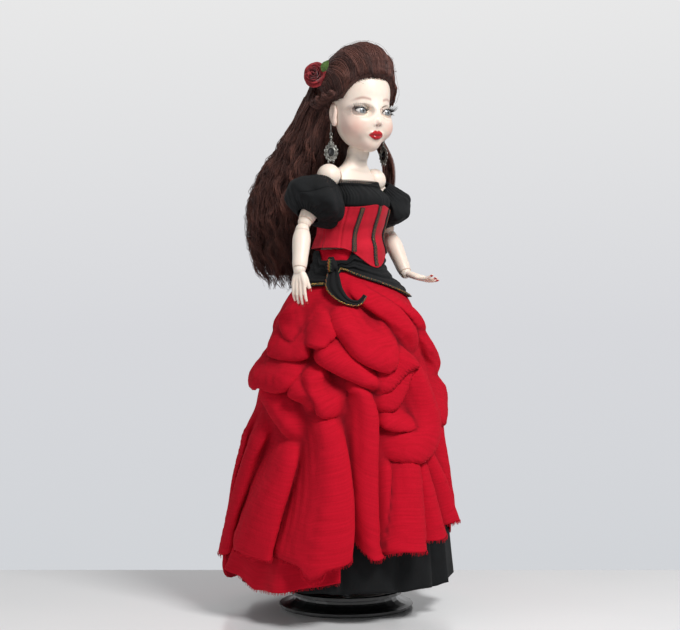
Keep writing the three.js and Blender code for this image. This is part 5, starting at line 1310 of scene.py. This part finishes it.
def makeFarLocks(rng, t):  # the locks that come forward over the far shoulder
    route = np.array(wig["farRoute"], float)
    farLines, farTones = [], []
    for _ in range(wig["farLocks"]):
        shift = rng.normal(0, 1, 3) * np.array([4.0, 4.0, 2.0])
        tone, phase = rng.uniform(), rng.uniform(0, 6.28)
        for strand in range(wig["fallStrands"]):
            reach = t * rng.uniform(0.8, 1.0)
            line = np.stack([eased(route[:, k], reach) for k in range(3)], -1)
            line = line + (shift + rng.normal(0, 0.7, 3)) * (0.3 + 0.9 * t[:, None])
            swing = np.sin(line[:, 2] / wig["waveLength"] * 2 * np.pi + phase) * wig["wave"] * t
            line = line + swing[:, None] * np.array([0.8, 0.5, 0])
            farLines.append(line)
            farTones.append(np.clip(tone + rng.normal(0, 0.15), 0, 1))
    hairPiece("farLocks", np.array(farLines), np.array(farTones), wig["fallRadius"], toTip)


def makeFlyaways():  # single hairs that have sprung loose
    rng = np.random.default_rng(24)
    t = np.linspace(0, 1, 22)
    lines = []
    for _ in range(wig["loose"]["fall"]):
        angle, phase = rng.uniform(0, 2 * np.pi), rng.uniform(0, 2 * np.pi)
        along = rng.uniform(0.0, 0.3) + t * rng.uniform(0.5, 0.75)
        line = fallAt(np.minimum(along, 1.0), angle + 0 * t, 0.97 + 0.09 * t * rng.uniform(0, 1))
        line[:, 0] += np.sin(line[:, 2] / 9 + phase) * 1.8
        line[:, 1] += np.cos(line[:, 2] / 9 + phase) * 1.8
        lines.append(line)
    for _ in range(wig["loose"]["crown"]):
        root = rng.normal(0, 1, 3) * np.array([0.9, 0.8, 0.35]) + np.array([0, 0, 0.9])
        curl = rng.normal(0, 0.5, 3)
        way = root + np.sin(t * rng.uniform(2, 5))[:, None] * curl * 0.5 + t[:, None] * np.array([0, 0.6, 0])
        lines.append(onCrown(way, 1.0 + 2.8 * np.sin(np.pi * t)))
    hairPiece("looseHairs", toWorld(np.array(lines)), rng.uniform(0.3, 1, len(lines)), 0.13)


makeWigBody()
makeCrownLocks()
makeBabyHairs()
makeTwist()
makeFall()
makeFlyaways()
print("wig")

# Rose at the back of the crown: petals of cloth wound round a bud, and one leaf behind them
rose = {"middle": (-33, 7, 471), "axis": (-0.92, -0.37, 0.05), "sink": 5.5, "thickness": 0.45,
        "bud": {"turn": 6.6, "radius": (0.5, 2.6), "height": 12.8},
        "rings": ((7, 8.8, 2.6, 8.5, 2.4, 1.0), (6, 7.0, 1.9, 10.5, 1.4, 0.85), (5, 5.3, 1.2, 12.0, 0.9, 0.75),
                  (4, 3.9, 0.7, 12.6, 0.4, 0.8))}  # petals, reach, flare, height, curl, half-span in radians
leaf = {"root": (-33.5, -2.5, 472), "tip": (-32.0, -8.2, 481.5), "halfWidth": 3.4, "thickness": 0.35}


def roseFrame():
    axis = np.array(rose["axis"]) / np.linalg.norm(rose["axis"])
    across = np.cross((0, 0, 1), axis)
    across /= np.linalg.norm(across)
    return np.array(rose["middle"], float), axis, across, np.cross(axis, across)


def makeRose():
    middle, axis, across, up = roseFrame()
    rng = np.random.default_rng(31)
    u, v = np.meshgrid(np.linspace(-1, 1, 17), np.linspace(0, 1, 13))
    petals = []
    for ring, (count, reach, flare, tall, curl, half) in enumerate(rose["rings"]):
        for k in range(count):
            turn = (k + 0.37 * ring + rng.uniform(-0.12, 0.12)) / count * 2 * np.pi
            size = rng.uniform(0.92, 1.06)
            angle = turn + u * half
            edge = 1 - 0.2 * u ** 2 + 0.03 * np.sin(5 * u + 3 * k)
            far = size * (1.2 + (reach - 1.2) * v ** 0.55 + flare * v ** 5 * (1 - 0.35 * u ** 2)) + 0.35 * u
            depth = tall * v * edge - curl * v ** 6 - rose["sink"] + 0.25 * np.sin(4 * u + 6 * v + k)
            petals.append((np.cos(angle) * far, np.sin(angle) * far, depth))
    bud = rose["bud"]
    t = np.linspace(0, 1, 17)[None] * bud["turn"] + 0 * v
    wind = bud["radius"][0] + bud["radius"][1] * t / bud["turn"]
    depth = -rose["sink"] + bud["height"] * v - 0.9 * v * t / bud["turn"]
    petals.append((np.cos(t) * wind, np.sin(t) * wind, depth))
    parts = []
    for i, (x, y, depth) in enumerate(petals):
        points = middle + x[..., None] * across + y[..., None] * up + depth[..., None] * axis
        part = gridPiece("petal" + str(i), points, roseCloth, closed=False)
        thicken(part, rose["thickness"], 0)
        modify(part, 'SUBSURF', levels=1, render_levels=1)
        parts.append(part)
    joinInto(parts[0], parts[1:]).name = "clothRose"
    settle(parts[0], "head", "rose_cloth", "rose")


def makeLeaf():
    root, tip = np.array(leaf["root"], float), np.array(leaf["tip"], float)
    _, axis, _, _ = roseFrame()
    along = tip - root
    across = np.cross(along, axis) / np.linalg.norm(along)
    u, v = np.meshgrid(np.linspace(-1, 1, 15), np.linspace(0, 1, 21))
    wide = leaf["halfWidth"] * np.sin(np.pi * np.clip(v, 0.02, 1) ** 0.8) ** 0.8
    tooth = 1 + 0.07 * np.abs(np.sin(v * 28)) * np.abs(u)
    vein = 0.9 * np.abs(u) + 0.25 * np.cos((v * 9 + np.abs(u) * 1.6) * np.pi) * np.abs(u)
    points = (root + v[..., None] * along + (u * wide * tooth)[..., None] * across
              + (vein + 1.4 * np.sin(np.pi * v))[..., None] * axis)
    piece = gridPiece("clothLeaf", points, leafCloth, closed=False)
    thicken(piece, leaf["thickness"], 0)
    settle(piece, "head", "leaf_cloth", "rose_leaf")


makeRose()
makeLeaf()
print("rose")

# Earrings: filigree drops with a black stone, hung from the ears' wires
earring = {"side": 27.8, "ahead": 1, "top": 419.2, "middle": 402, "halfWidth": 6.5, "halfHeight": 8.2,
           "wire": 0.32, "bead": 1.5, "loops": 12, "stone": (0.46, 0.47), "facets": 10,
           "cut": ((0.02, -1.5, 0), (1, -0.2, 0), (1, 0.35, 0), (0.62, 1.45, 0.5), (0.02, 1.6, 0.5)),
           "twist": {"right": 40, "left": 0}}  # degrees that each drop has turned on its wire


def makeEarring(side, name):
    def flat(points):  # from across and up in the drop's own plane
        points = np.asarray(points, float)
        across, up = points[..., 0], points[..., 1]
        depth = points[..., 2] if points.shape[-1] > 2 else 0 * up
        spin = math.radians(earring["twist"][name]) * -side
        sideways = side * depth * math.cos(spin) - across * math.sin(spin)
        ahead = side * depth * math.sin(spin) + across * math.cos(spin)
        place = np.stack([side * earring["side"] + sideways, earring["ahead"] + ahead, up], -1)
        return toWorld(place)

    t = np.linspace(0, 2 * np.pi, 25)
    middle, wide, tall = earring["middle"], earring["halfWidth"], earring["halfHeight"]
    lines = []

    def wire(x, z, lift):
        lines.append(flat(np.stack([x, z, lift + 0 * t], -1)))

    def loop(x, z, halfWidth, halfHeight, lift=0.0):
        wire(x + halfWidth * np.cos(t), z + halfHeight * np.sin(t), lift)

    loop(0, earring["top"] - 1.4, 1.1, 1.4)
    loop(0, earring["top"] - 8.2, 0.9, 1.1)
    loop(0, middle, wide * 0.56, tall * 0.58, 0.3)
    loop(0, middle, wide * 0.49, tall * 0.5, 0.5)
    for k in range(earring["loops"]):
        angle = (k + 0.5) / earring["loops"] * 2 * np.pi
        spot = np.array([np.cos(angle) * wide * 0.79, middle + np.sin(angle) * tall * 0.8])
        loop(*spot, 1.25, 1.35, 0.15)
        curl = t * 1.35 + angle
        size = 0.25 + 0.75 * t / (2 * np.pi)
        wire(spot[0] + size * np.cos(curl), spot[1] + size * np.sin(curl), 0.4)
    for way in (-1, 1):  # the scrolls at the crown and the foot
        for base, turn in ((middle + tall * 0.98, 1), (middle - tall * 0.93, -1)):
            curl = np.pi / 2 * turn + way * t * 0.9
            size = 1.7 * (1 - 0.62 * t / (2 * np.pi))
            wire(way * 1.5 + size * np.cos(curl), base + size * np.sin(curl), 0.1)
    drop = tubes(name + "FiligreeDrop", np.array(lines), earring["wire"], 6, silver)
    beads = ((earring["top"] - 4.2, 1.0), (earring["top"] - 6.2, 0.55), (middle + tall * 1.02, 0.6))
    joinInto(drop, [ballPiece(flat((0, height, 0)), earring["bead"] * size, silver, 20, 12)
                    for height, size in beads])
    settle(drop, name + "_earring", "antique_silver", name + "_earring_drop")
    turn = turnsRound(earring["facets"])
    shareWide, shareTall = earring["stone"]
    rows = []
    for share, depth, shift in earring["cut"]:
        spin = turn + shift * 2 * np.pi / earring["facets"]
        rows.append(np.stack([share * wide * shareWide * np.cos(spin),
                              middle + share * tall * shareTall * np.sin(spin), depth + 0 * spin], -1))
    stone = gridPiece(name + "OnyxStone", flat(np.array(rows)), onyx, capped=True)
    shadeSmooth(stone, False)
    outward(stone)
    settle(stone, name + "_earring", "black_stone", name + "_earring_stone")


for side, name in bothSides:
    makeEarring(side, name)
print("earrings")

# Bodice, corset and sash: cloth held close, with the strain and gathers it takes on
clothes = {"bodiceTop": 373, "bodiceBottom": 346, "corsetTop": 353, "corsetSide": 318, "corsetPoint": 301,
           "sashTop": 316, "laceLift": 1.8}


def overLift(angle, height):  # how far the gown already stands off the hips under the sash
    drop = np.clip((skirt["top"] - height) / (skirt["top"] - skirt["hem"]), 0, 1)
    upper = bell(height - 208, 30) * (0.7 + 0.3 * np.cos(7 * angle + 0.6))
    return 1.3 + 2.4 * drop ** 2 * (1 + 0.8 * np.cos(10 * angle)) + 16 * upper


def onSash(angle, height, out):
    return onSkirt(angle, height, overLift(angle, height) + 1.7 + out)


def onCorset(angle, height, out):
    low = onSash(angle, height, 2.1 + out)
    high = onTorso(angle, height, clothes["laceLift"] + out, True)
    share = ease(clothes["sashTop"], 0.6 * clothes["sashTop"] + 0.4 * clothes["corsetTop"], height)[..., None]
    return low + (high - low) * share


def corsetHeight(angle, share):
    dip = np.maximum(np.cos(angle + np.pi / 2), 0) ** 6
    peak = 3.0 * np.maximum(np.cos(angle + np.pi / 2), 0) ** 10
    low = clothes["corsetSide"] + (clothes["corsetPoint"] - clothes["corsetSide"]) * dip
    return clothes["corsetTop"] + peak + (low - clothes["corsetTop"] - peak) * share


corset = {"thickness": 1.1, "lift": 1.3, "seams": (180, 0, 213, 327, 150, 30)}


def makeCorset():
    angle, share = clothGrid(260, 70)
    height = corsetHeight(angle, share)
    round360 = np.degrees(angle) % 360
    seams = np.min([np.abs((round360 - seam + 180) % 360 - 180) for seam in corset["seams"]], axis=0)
    pull = -0.55 * bell(seams, 1.3) + 0.35 * bell(seams - 4, 3)
    strain = 0.3 * np.sin(height / 2.1 + 3 * np.sin(2 * angle)) * bell(height - 332, 12)
    edge = 0.4 * (bell(share, 0.03) + bell(1 - share, 0.03))
    points = onCorset(angle, height, corset["lift"] + pull + strain + edge)
    piece = gridPiece("linenCorset", points, redLinen)
    thicken(piece, corset["thickness"])
    modify(piece, 'SUBSURF', levels=1, render_levels=1)
    settle(piece, "torso", "red_linen", "corset")


def joinThreads(name, sides, threads, *nodes):  # threads of several colours laid as one trimming
    parts = [tubes(name + str(i), line[None], radius, sides, material)
             for i, (line, radius, material) in enumerate(threads)]
    joinInto(parts[0], parts[1:]).name = name
    settle(parts[0], "torso", "metallic_braid", *nodes)


# The corset's braids: black gimp loops with gold, green and rust threads, each thread as (swing, turns, phase,
# radius, colour, how far out it lies)
braidThreads = ((1.7, 21, 0.0, 0.46, blackThread, 2.2), (1.7, 21, np.pi, 0.46, blackThread, 2.4),
                (1.1, 34, 0.6, 0.1, goldThread, 2.5), (0.9, 27, 2.2, 0.2, greenThread, 2.6),
                (0.6, 18, 4.0, 0.18, orangeThread, 2.8), (0.0, 1, 0, 0.8, blackThread, 1.8))


def makeBraid(name, topDegrees, bottomDegrees, node):
    share = np.linspace(0.03, 0.97, 420)
    middle = np.radians(topDegrees + (bottomDegrees - topDegrees) * share)
    threads = []
    for amplitude, turns, phase, radius, material, out in braidThreads:
        swing = np.sin(share * turns * 2 * np.pi + phase)
        aside = amplitude * swing / 30
        slide = 0.5 * amplitude * np.cos(share * turns * 4 * np.pi + phase) * 0.012
        spot = np.clip(share + slide, 0.01, 0.99)
        out = out + 0.25 * np.cos(share * turns * 4 * np.pi)
        threads.append((onCorset(middle + aside, corsetHeight(middle, spot), out), radius, material))
    joinThreads(name, 6, threads, node)


bodice = {"thickness": 0.7, "overNeckline": 2, "puff": 2.4, "offShoulder": 11.6}


def makeBodice():  # the blouse over the bust: gathered on a drawn neckline
    angle, share = clothGrid(420, 50)
    top = clothes["bodiceTop"] + bodice["overNeckline"]
    height = top + (clothes["bodiceBottom"] - top) * share
    gather = np.cos(46 * angle + 5 * np.sin(5 * angle) + 3 * share) * 0.4 * (1 - share)
    gather = gather + np.cos(13 * angle + 2 * share) * 0.5
    front = np.maximum(-np.sin(angle), 0)
    blouse = 1.6 + bodice["puff"] * np.sin(np.pi * np.clip(share * 1.05, 0, 1)) * (0.4 + 0.6 * front) + gather
    blouse = blouse + (0.8 - blouse) * ease(0.66, 0.82, share)
    points = onTorso(angle, height, blouse, True)
    for side in (-1, 1):
        points = offShoulder(points, side, bodice["offShoulder"])[1]
    piece = gridPiece("cottonBodice", points, blackCotton)
    thicken(piece, bodice["thickness"])
    settle(piece, "torso", "black_cotton", "bodice")


lace = {"loops": 26, "out": 3.0, "radius": 0.32}


def makeLace(name, middleDegrees, halfDegrees, node):  # crocheted edge: a cord, a row of loops, small picots
    count = lace["loops"]
    lines = []
    t = np.linspace(0, 2 * np.pi, 15)
    step = np.radians(2 * halfDegrees) / count
    for i in range(count):
        centre = np.radians(middleDegrees - halfDegrees) + (i + 0.5) * step
        for radius, rise in ((0.47, 2.2), (0.3, 2.0), (0.16, 4.3)):
            height = clothes["bodiceTop"] + rise + (1.7 if radius > 0.2 else 0.5) * np.sin(t)
            lines.append(onTorso(centre + step * radius * np.cos(t), height, lace["out"], True))
    for rise in (0.2, 0.9):
        around = np.radians(middleDegrees) + np.radians(halfDegrees) * np.linspace(-1, 1, 15 * count)
        band = onTorso(around, clothes["bodiceTop"] + rise, lace["out"] + 0.1, True).reshape(count, 15, 3)
        lines += list(band)
    settle(tubes(name, np.array(lines), lace["radius"], 5, blackLace), "torso", "black_cotton", node)


sleeve = {"start": 7.5, "length": 36, "outward": 3.5, "gathers": 34, "sag": 7.5, "inner": 32.5,
          "ends": (11.4, 9.6), "thickness": 0.6, "puff": (13.5, 19.5, 23.5, 24.8, 23.5, 19, 12.2)}


def makeSleeve(name, pose):  # an off-shoulder puff: drawn up on elastic at both ends, it sags under the arm
    side, down = pose["side"], pose["down"]
    turn, share = clothGrid(280, 92)
    belly = np.sin(np.pi * share)
    across = np.cross(down, (0, 1, 0))
    across /= np.linalg.norm(across)
    other = np.cross(down, across)
    out = np.cos(turn)[..., None] * across + np.sin(turn)[..., None] * other
    drawn = bell(share, 0.16) + bell(1 - share, 0.16)
    gather = 0.95 * np.cos(sleeve["gathers"] * turn + 2.5 * np.sin(3 * turn)) * drawn
    bend = 1.6 * turn + 2.6 * share * side + 0.8 * np.sin(turn)
    big = (4.2 * np.abs(np.sin(bend)) ** 0.6 + 1.2 * np.cos(5 * turn + 6 * share)) * belly - 2.4
    sagging = 0.5 * np.cos(3 * np.pi * share + 4 * turn) * belly
    radius = eased(sleeve["puff"], share) + gather + big + sagging
    middle = pose["shoulder"] + down * sleeve["start"] + down * (share * sleeve["length"])[..., None]
    middle = middle + belly[..., None] * np.array([side * sleeve["outward"], 0, 0])
    points = middle + out * radius[..., None]
    low = np.maximum(-out[..., 2], 0) + 0.4
    points[..., 2] -= sleeve["sag"] * belly ** 1.2 * low
    topIn, edgeIn = [middle[row] + out[0] * (reach + 0.4 * np.cos(sleeve["gathers"] * turn[0]))[..., None]
                     for row, reach in zip((0, -1), sleeve["ends"])]
    points = np.concatenate([topIn[None], points, edgeIn[None]])
    points[..., 0] = side * np.maximum(side * points[..., 0], sleeve["inner"])
    points += (noiseField(points, 12) * 1.32)[..., None]
    piece = gridPiece(name + "PuffSleeve", points, blackCotton)
    thicken(piece, sleeve["thickness"])
    settle(piece, name + "_upper_arm", "black_cotton", name + "_sleeve")


sash = {"turns": 3.4, "fold": 1.6, "thickness": 0.9, "dip": 9}
# Threads along an edge, each as (turns, swing, radius, colour, how far out it lies)
sashThreads = ((150, 0.9, 0.15, goldThread, 2.5), (110, 0.8, 0.24, greenThread, 2.4),
               (90, 0.7, 0.15, orangeThread, 2.6), (1, 0, 0.9, blackThread, 1.8))


def makeSash():  # a scarf wound twice round the hips: long soft folds that rise and fall
    angle, share = clothGrid(300, 110)
    degrees = np.degrees(angle)
    top = clothes["sashTop"] - sash["dip"] * ease(165, 178, degrees) * ease(236, 222, degrees)
    height = top + (sashLow(degrees) - top) * share
    drift = share * sash["turns"] + 0.35 * np.sin(angle + 0.6) + 0.22 * np.sin(2 * angle + 2)
    fold = sash["fold"] * np.abs(np.sin(np.pi * drift)) ** 0.7
    fold = fold + 0.5 * np.cos(2 * np.pi * (drift * 1.9 + 0.3 * np.sin(angle)))
    points = onSash(angle, height, 1.0 + fold * np.clip(share * 6, 0, 1) + 0.8 * bell(share - 1, 0.02))
    outAt = np.stack([np.cos(angle), np.sin(angle), 0 * angle], -1)
    points += (noiseField(points, 7) * 0.5)[..., None] * outAt
    piece = gridPiece("cottonHipSash", points, blackCotton)
    thicken(piece, sash["thickness"])
    settle(piece, "torso", "black_cotton", "hip_sash")
    t = np.linspace(0, 2 * np.pi, 1500)
    low = sashLow(np.degrees(t)) + 1.6
    joinThreads("sashBraid", 5, [
        (onSash(t, low + swing * np.sin(turns * t), rise + 0.3 * np.cos(turns * t)), radius, material)
        for turns, swing, radius, material, rise in sashThreads])


sashKnot = {"angle": 202, "height": 302, "out": 6.5, "halfWidth": 5.6, "halfHeight": 7.6, "halfDepth": 4.8,
            "threads": ((0, 0.3, goldThread), (0.8, 0.28, greenThread), (-0.8, 0.28, orangeThread),
                        (1.5, 0.35, blackThread), (-1.5, 0.35, blackThread))}  # shift aside, radius, colour
sashTail = {"track": ((203, 302), (206, 294), (210, 285), (216, 277), (223, 271), (231, 269.5), (237, 276)),
            "halfWidth": (3.0, 5.6, 6.8, 5.0, 3.0, 2.0, 1.1), "flat": (56, 11), "thickness": 0.9,
            "threads": ((22, 0.5, 0.22, goldThread, 1.1), (17, 0.5, 0.26, greenThread, 1.0),
                        (13, 0.4, 0.22, orangeThread, 1.2), (1, 0, 0.75, blackThread, 0.5))}


def makeKnot():  # the scarf's end pulled through itself: a fat loop with its folds drawn together
    angle = np.radians(sashKnot["angle"])
    middle = onSash(np.array(angle), np.array(float(sashKnot["height"])), sashKnot["out"])
    out = np.array([np.cos(angle), np.sin(angle), 0])
    across = np.array([-np.sin(angle), np.cos(angle), 0])
    lift, turn = sphereWays(80, 60)
    x, z, y = np.cos(turn) * np.cos(lift), np.sin(turn) * np.cos(lift), np.sin(lift)
    grooves = np.cos(9 * x + 3.0 * z + 1.2 * np.sin(3 * z)) * 0.07 + 0.05 * np.cos(4 * turn + 2 * lift)
    size = 1 + grooves * np.cos(lift)
    points = (middle + (x * size * sashKnot["halfWidth"])[..., None] * across
              + (z * size * sashKnot["halfHeight"])[..., None] * np.array([0, 0, 1])
              + (y * size * sashKnot["halfDepth"])[..., None] * out)
    piece = gridPiece("sashKnot", points, blackCotton, capped=True)
    outward(piece)
    settle(piece, "torso", "black_cotton", "sash_knot")
    t = np.linspace(-1, 1, 60)
    over = (middle + (t * 0.72 * sashKnot["halfHeight"])[:, None] * np.array([0, 0, 1])
            + (np.sqrt(1 - (0.72 * t) ** 2) * (sashKnot["halfDepth"] * 1.07))[:, None] * out)
    joinThreads("knotBraid", 5, [
        (over + (shift + 0.5 * np.sin(13 * t + shift))[:, None] * across, radius, material)
        for shift, radius, material in sashKnot["threads"]])


def makeTail():  # the scarf's loose end: it twists as it falls and curls up at its tip
    share = np.linspace(0, 1, 90)
    track = np.array(sashTail["track"], float)
    degrees, height = eased(track[:, 0], share), eased(track[:, 1], share)
    half = eased(sashTail["halfWidth"], share)
    girth = np.hypot(*onSkirt(0 * height, height, 8)[..., :2].T)
    alongX = np.gradient(np.radians(degrees)) * girth
    alongZ = np.gradient(height)
    length = np.hypot(alongX, alongZ)
    sideX, sideZ = -alongZ / length, alongX / length
    u = np.linspace(-1, 1, 21)[None]
    wave = 0.7 * np.cos(7 * u + 3 * share[:, None]) + 0.9 * u * np.sin(5 * share[:, None])
    lift = 4.2 + 1.2 * np.sin(np.pi * share)[:, None] + wave * ease(0, 0.1, share)[:, None]
    lift = lift + 3.5 * ease(0.75, 1.0, share)[:, None]

    def spot(u, lift):
        angle = np.radians(degrees)[:, None] + u * half[:, None] * sideX[:, None] / girth[:, None]
        return onSash(angle, height[:, None] + u * half[:, None] * sideZ[:, None], lift)

    points = spot(u, lift)
    width, cut = sashTail["flat"]
    flat = np.stack([0.5 * cut * u + 0 * lift, share[:, None] * width + 0 * lift], -1) * mm
    piece = gridPiece("sashTailEnd", points, blackCotton, closed=False, flat=flat)
    thicken(piece, sashTail["thickness"], 0)
    settle(piece, "torso", "black_cotton", "sash_tail")
    threads = []
    for turns, swing, radius, material, rise in sashTail["threads"]:
        side = -0.9 + swing * np.sin(turns * 2 * np.pi * share)[:, None] / half[:, None]
        edgeLift = lift[:, :1] + rise + 0.3 * np.cos(turns * 2 * np.pi * share)[:, None]
        threads.append((spot(side, edgeLift)[:, 0], radius, material))
    joinThreads("tailBraid", 5, threads)


makeCorset()
for name, top, bottom, node in (("centerBraid", -90, -90, "corset_trim_center"),
                                ("rightBraid", -122, -126, "corset_trim_right"),
                                ("leftBraid", -58, -54, "corset_trim_left")):
    makeBraid(name, top, bottom, node)
makeBodice()
makeLace("frontLace", -90, 62, "front_lace")
makeLace("backLace", 90, 62, "back_lace")
for name, pose in arms.items():
    makeSleeve(name, pose)
makeSash()
makeKnot()
makeTail()
print("clothes")
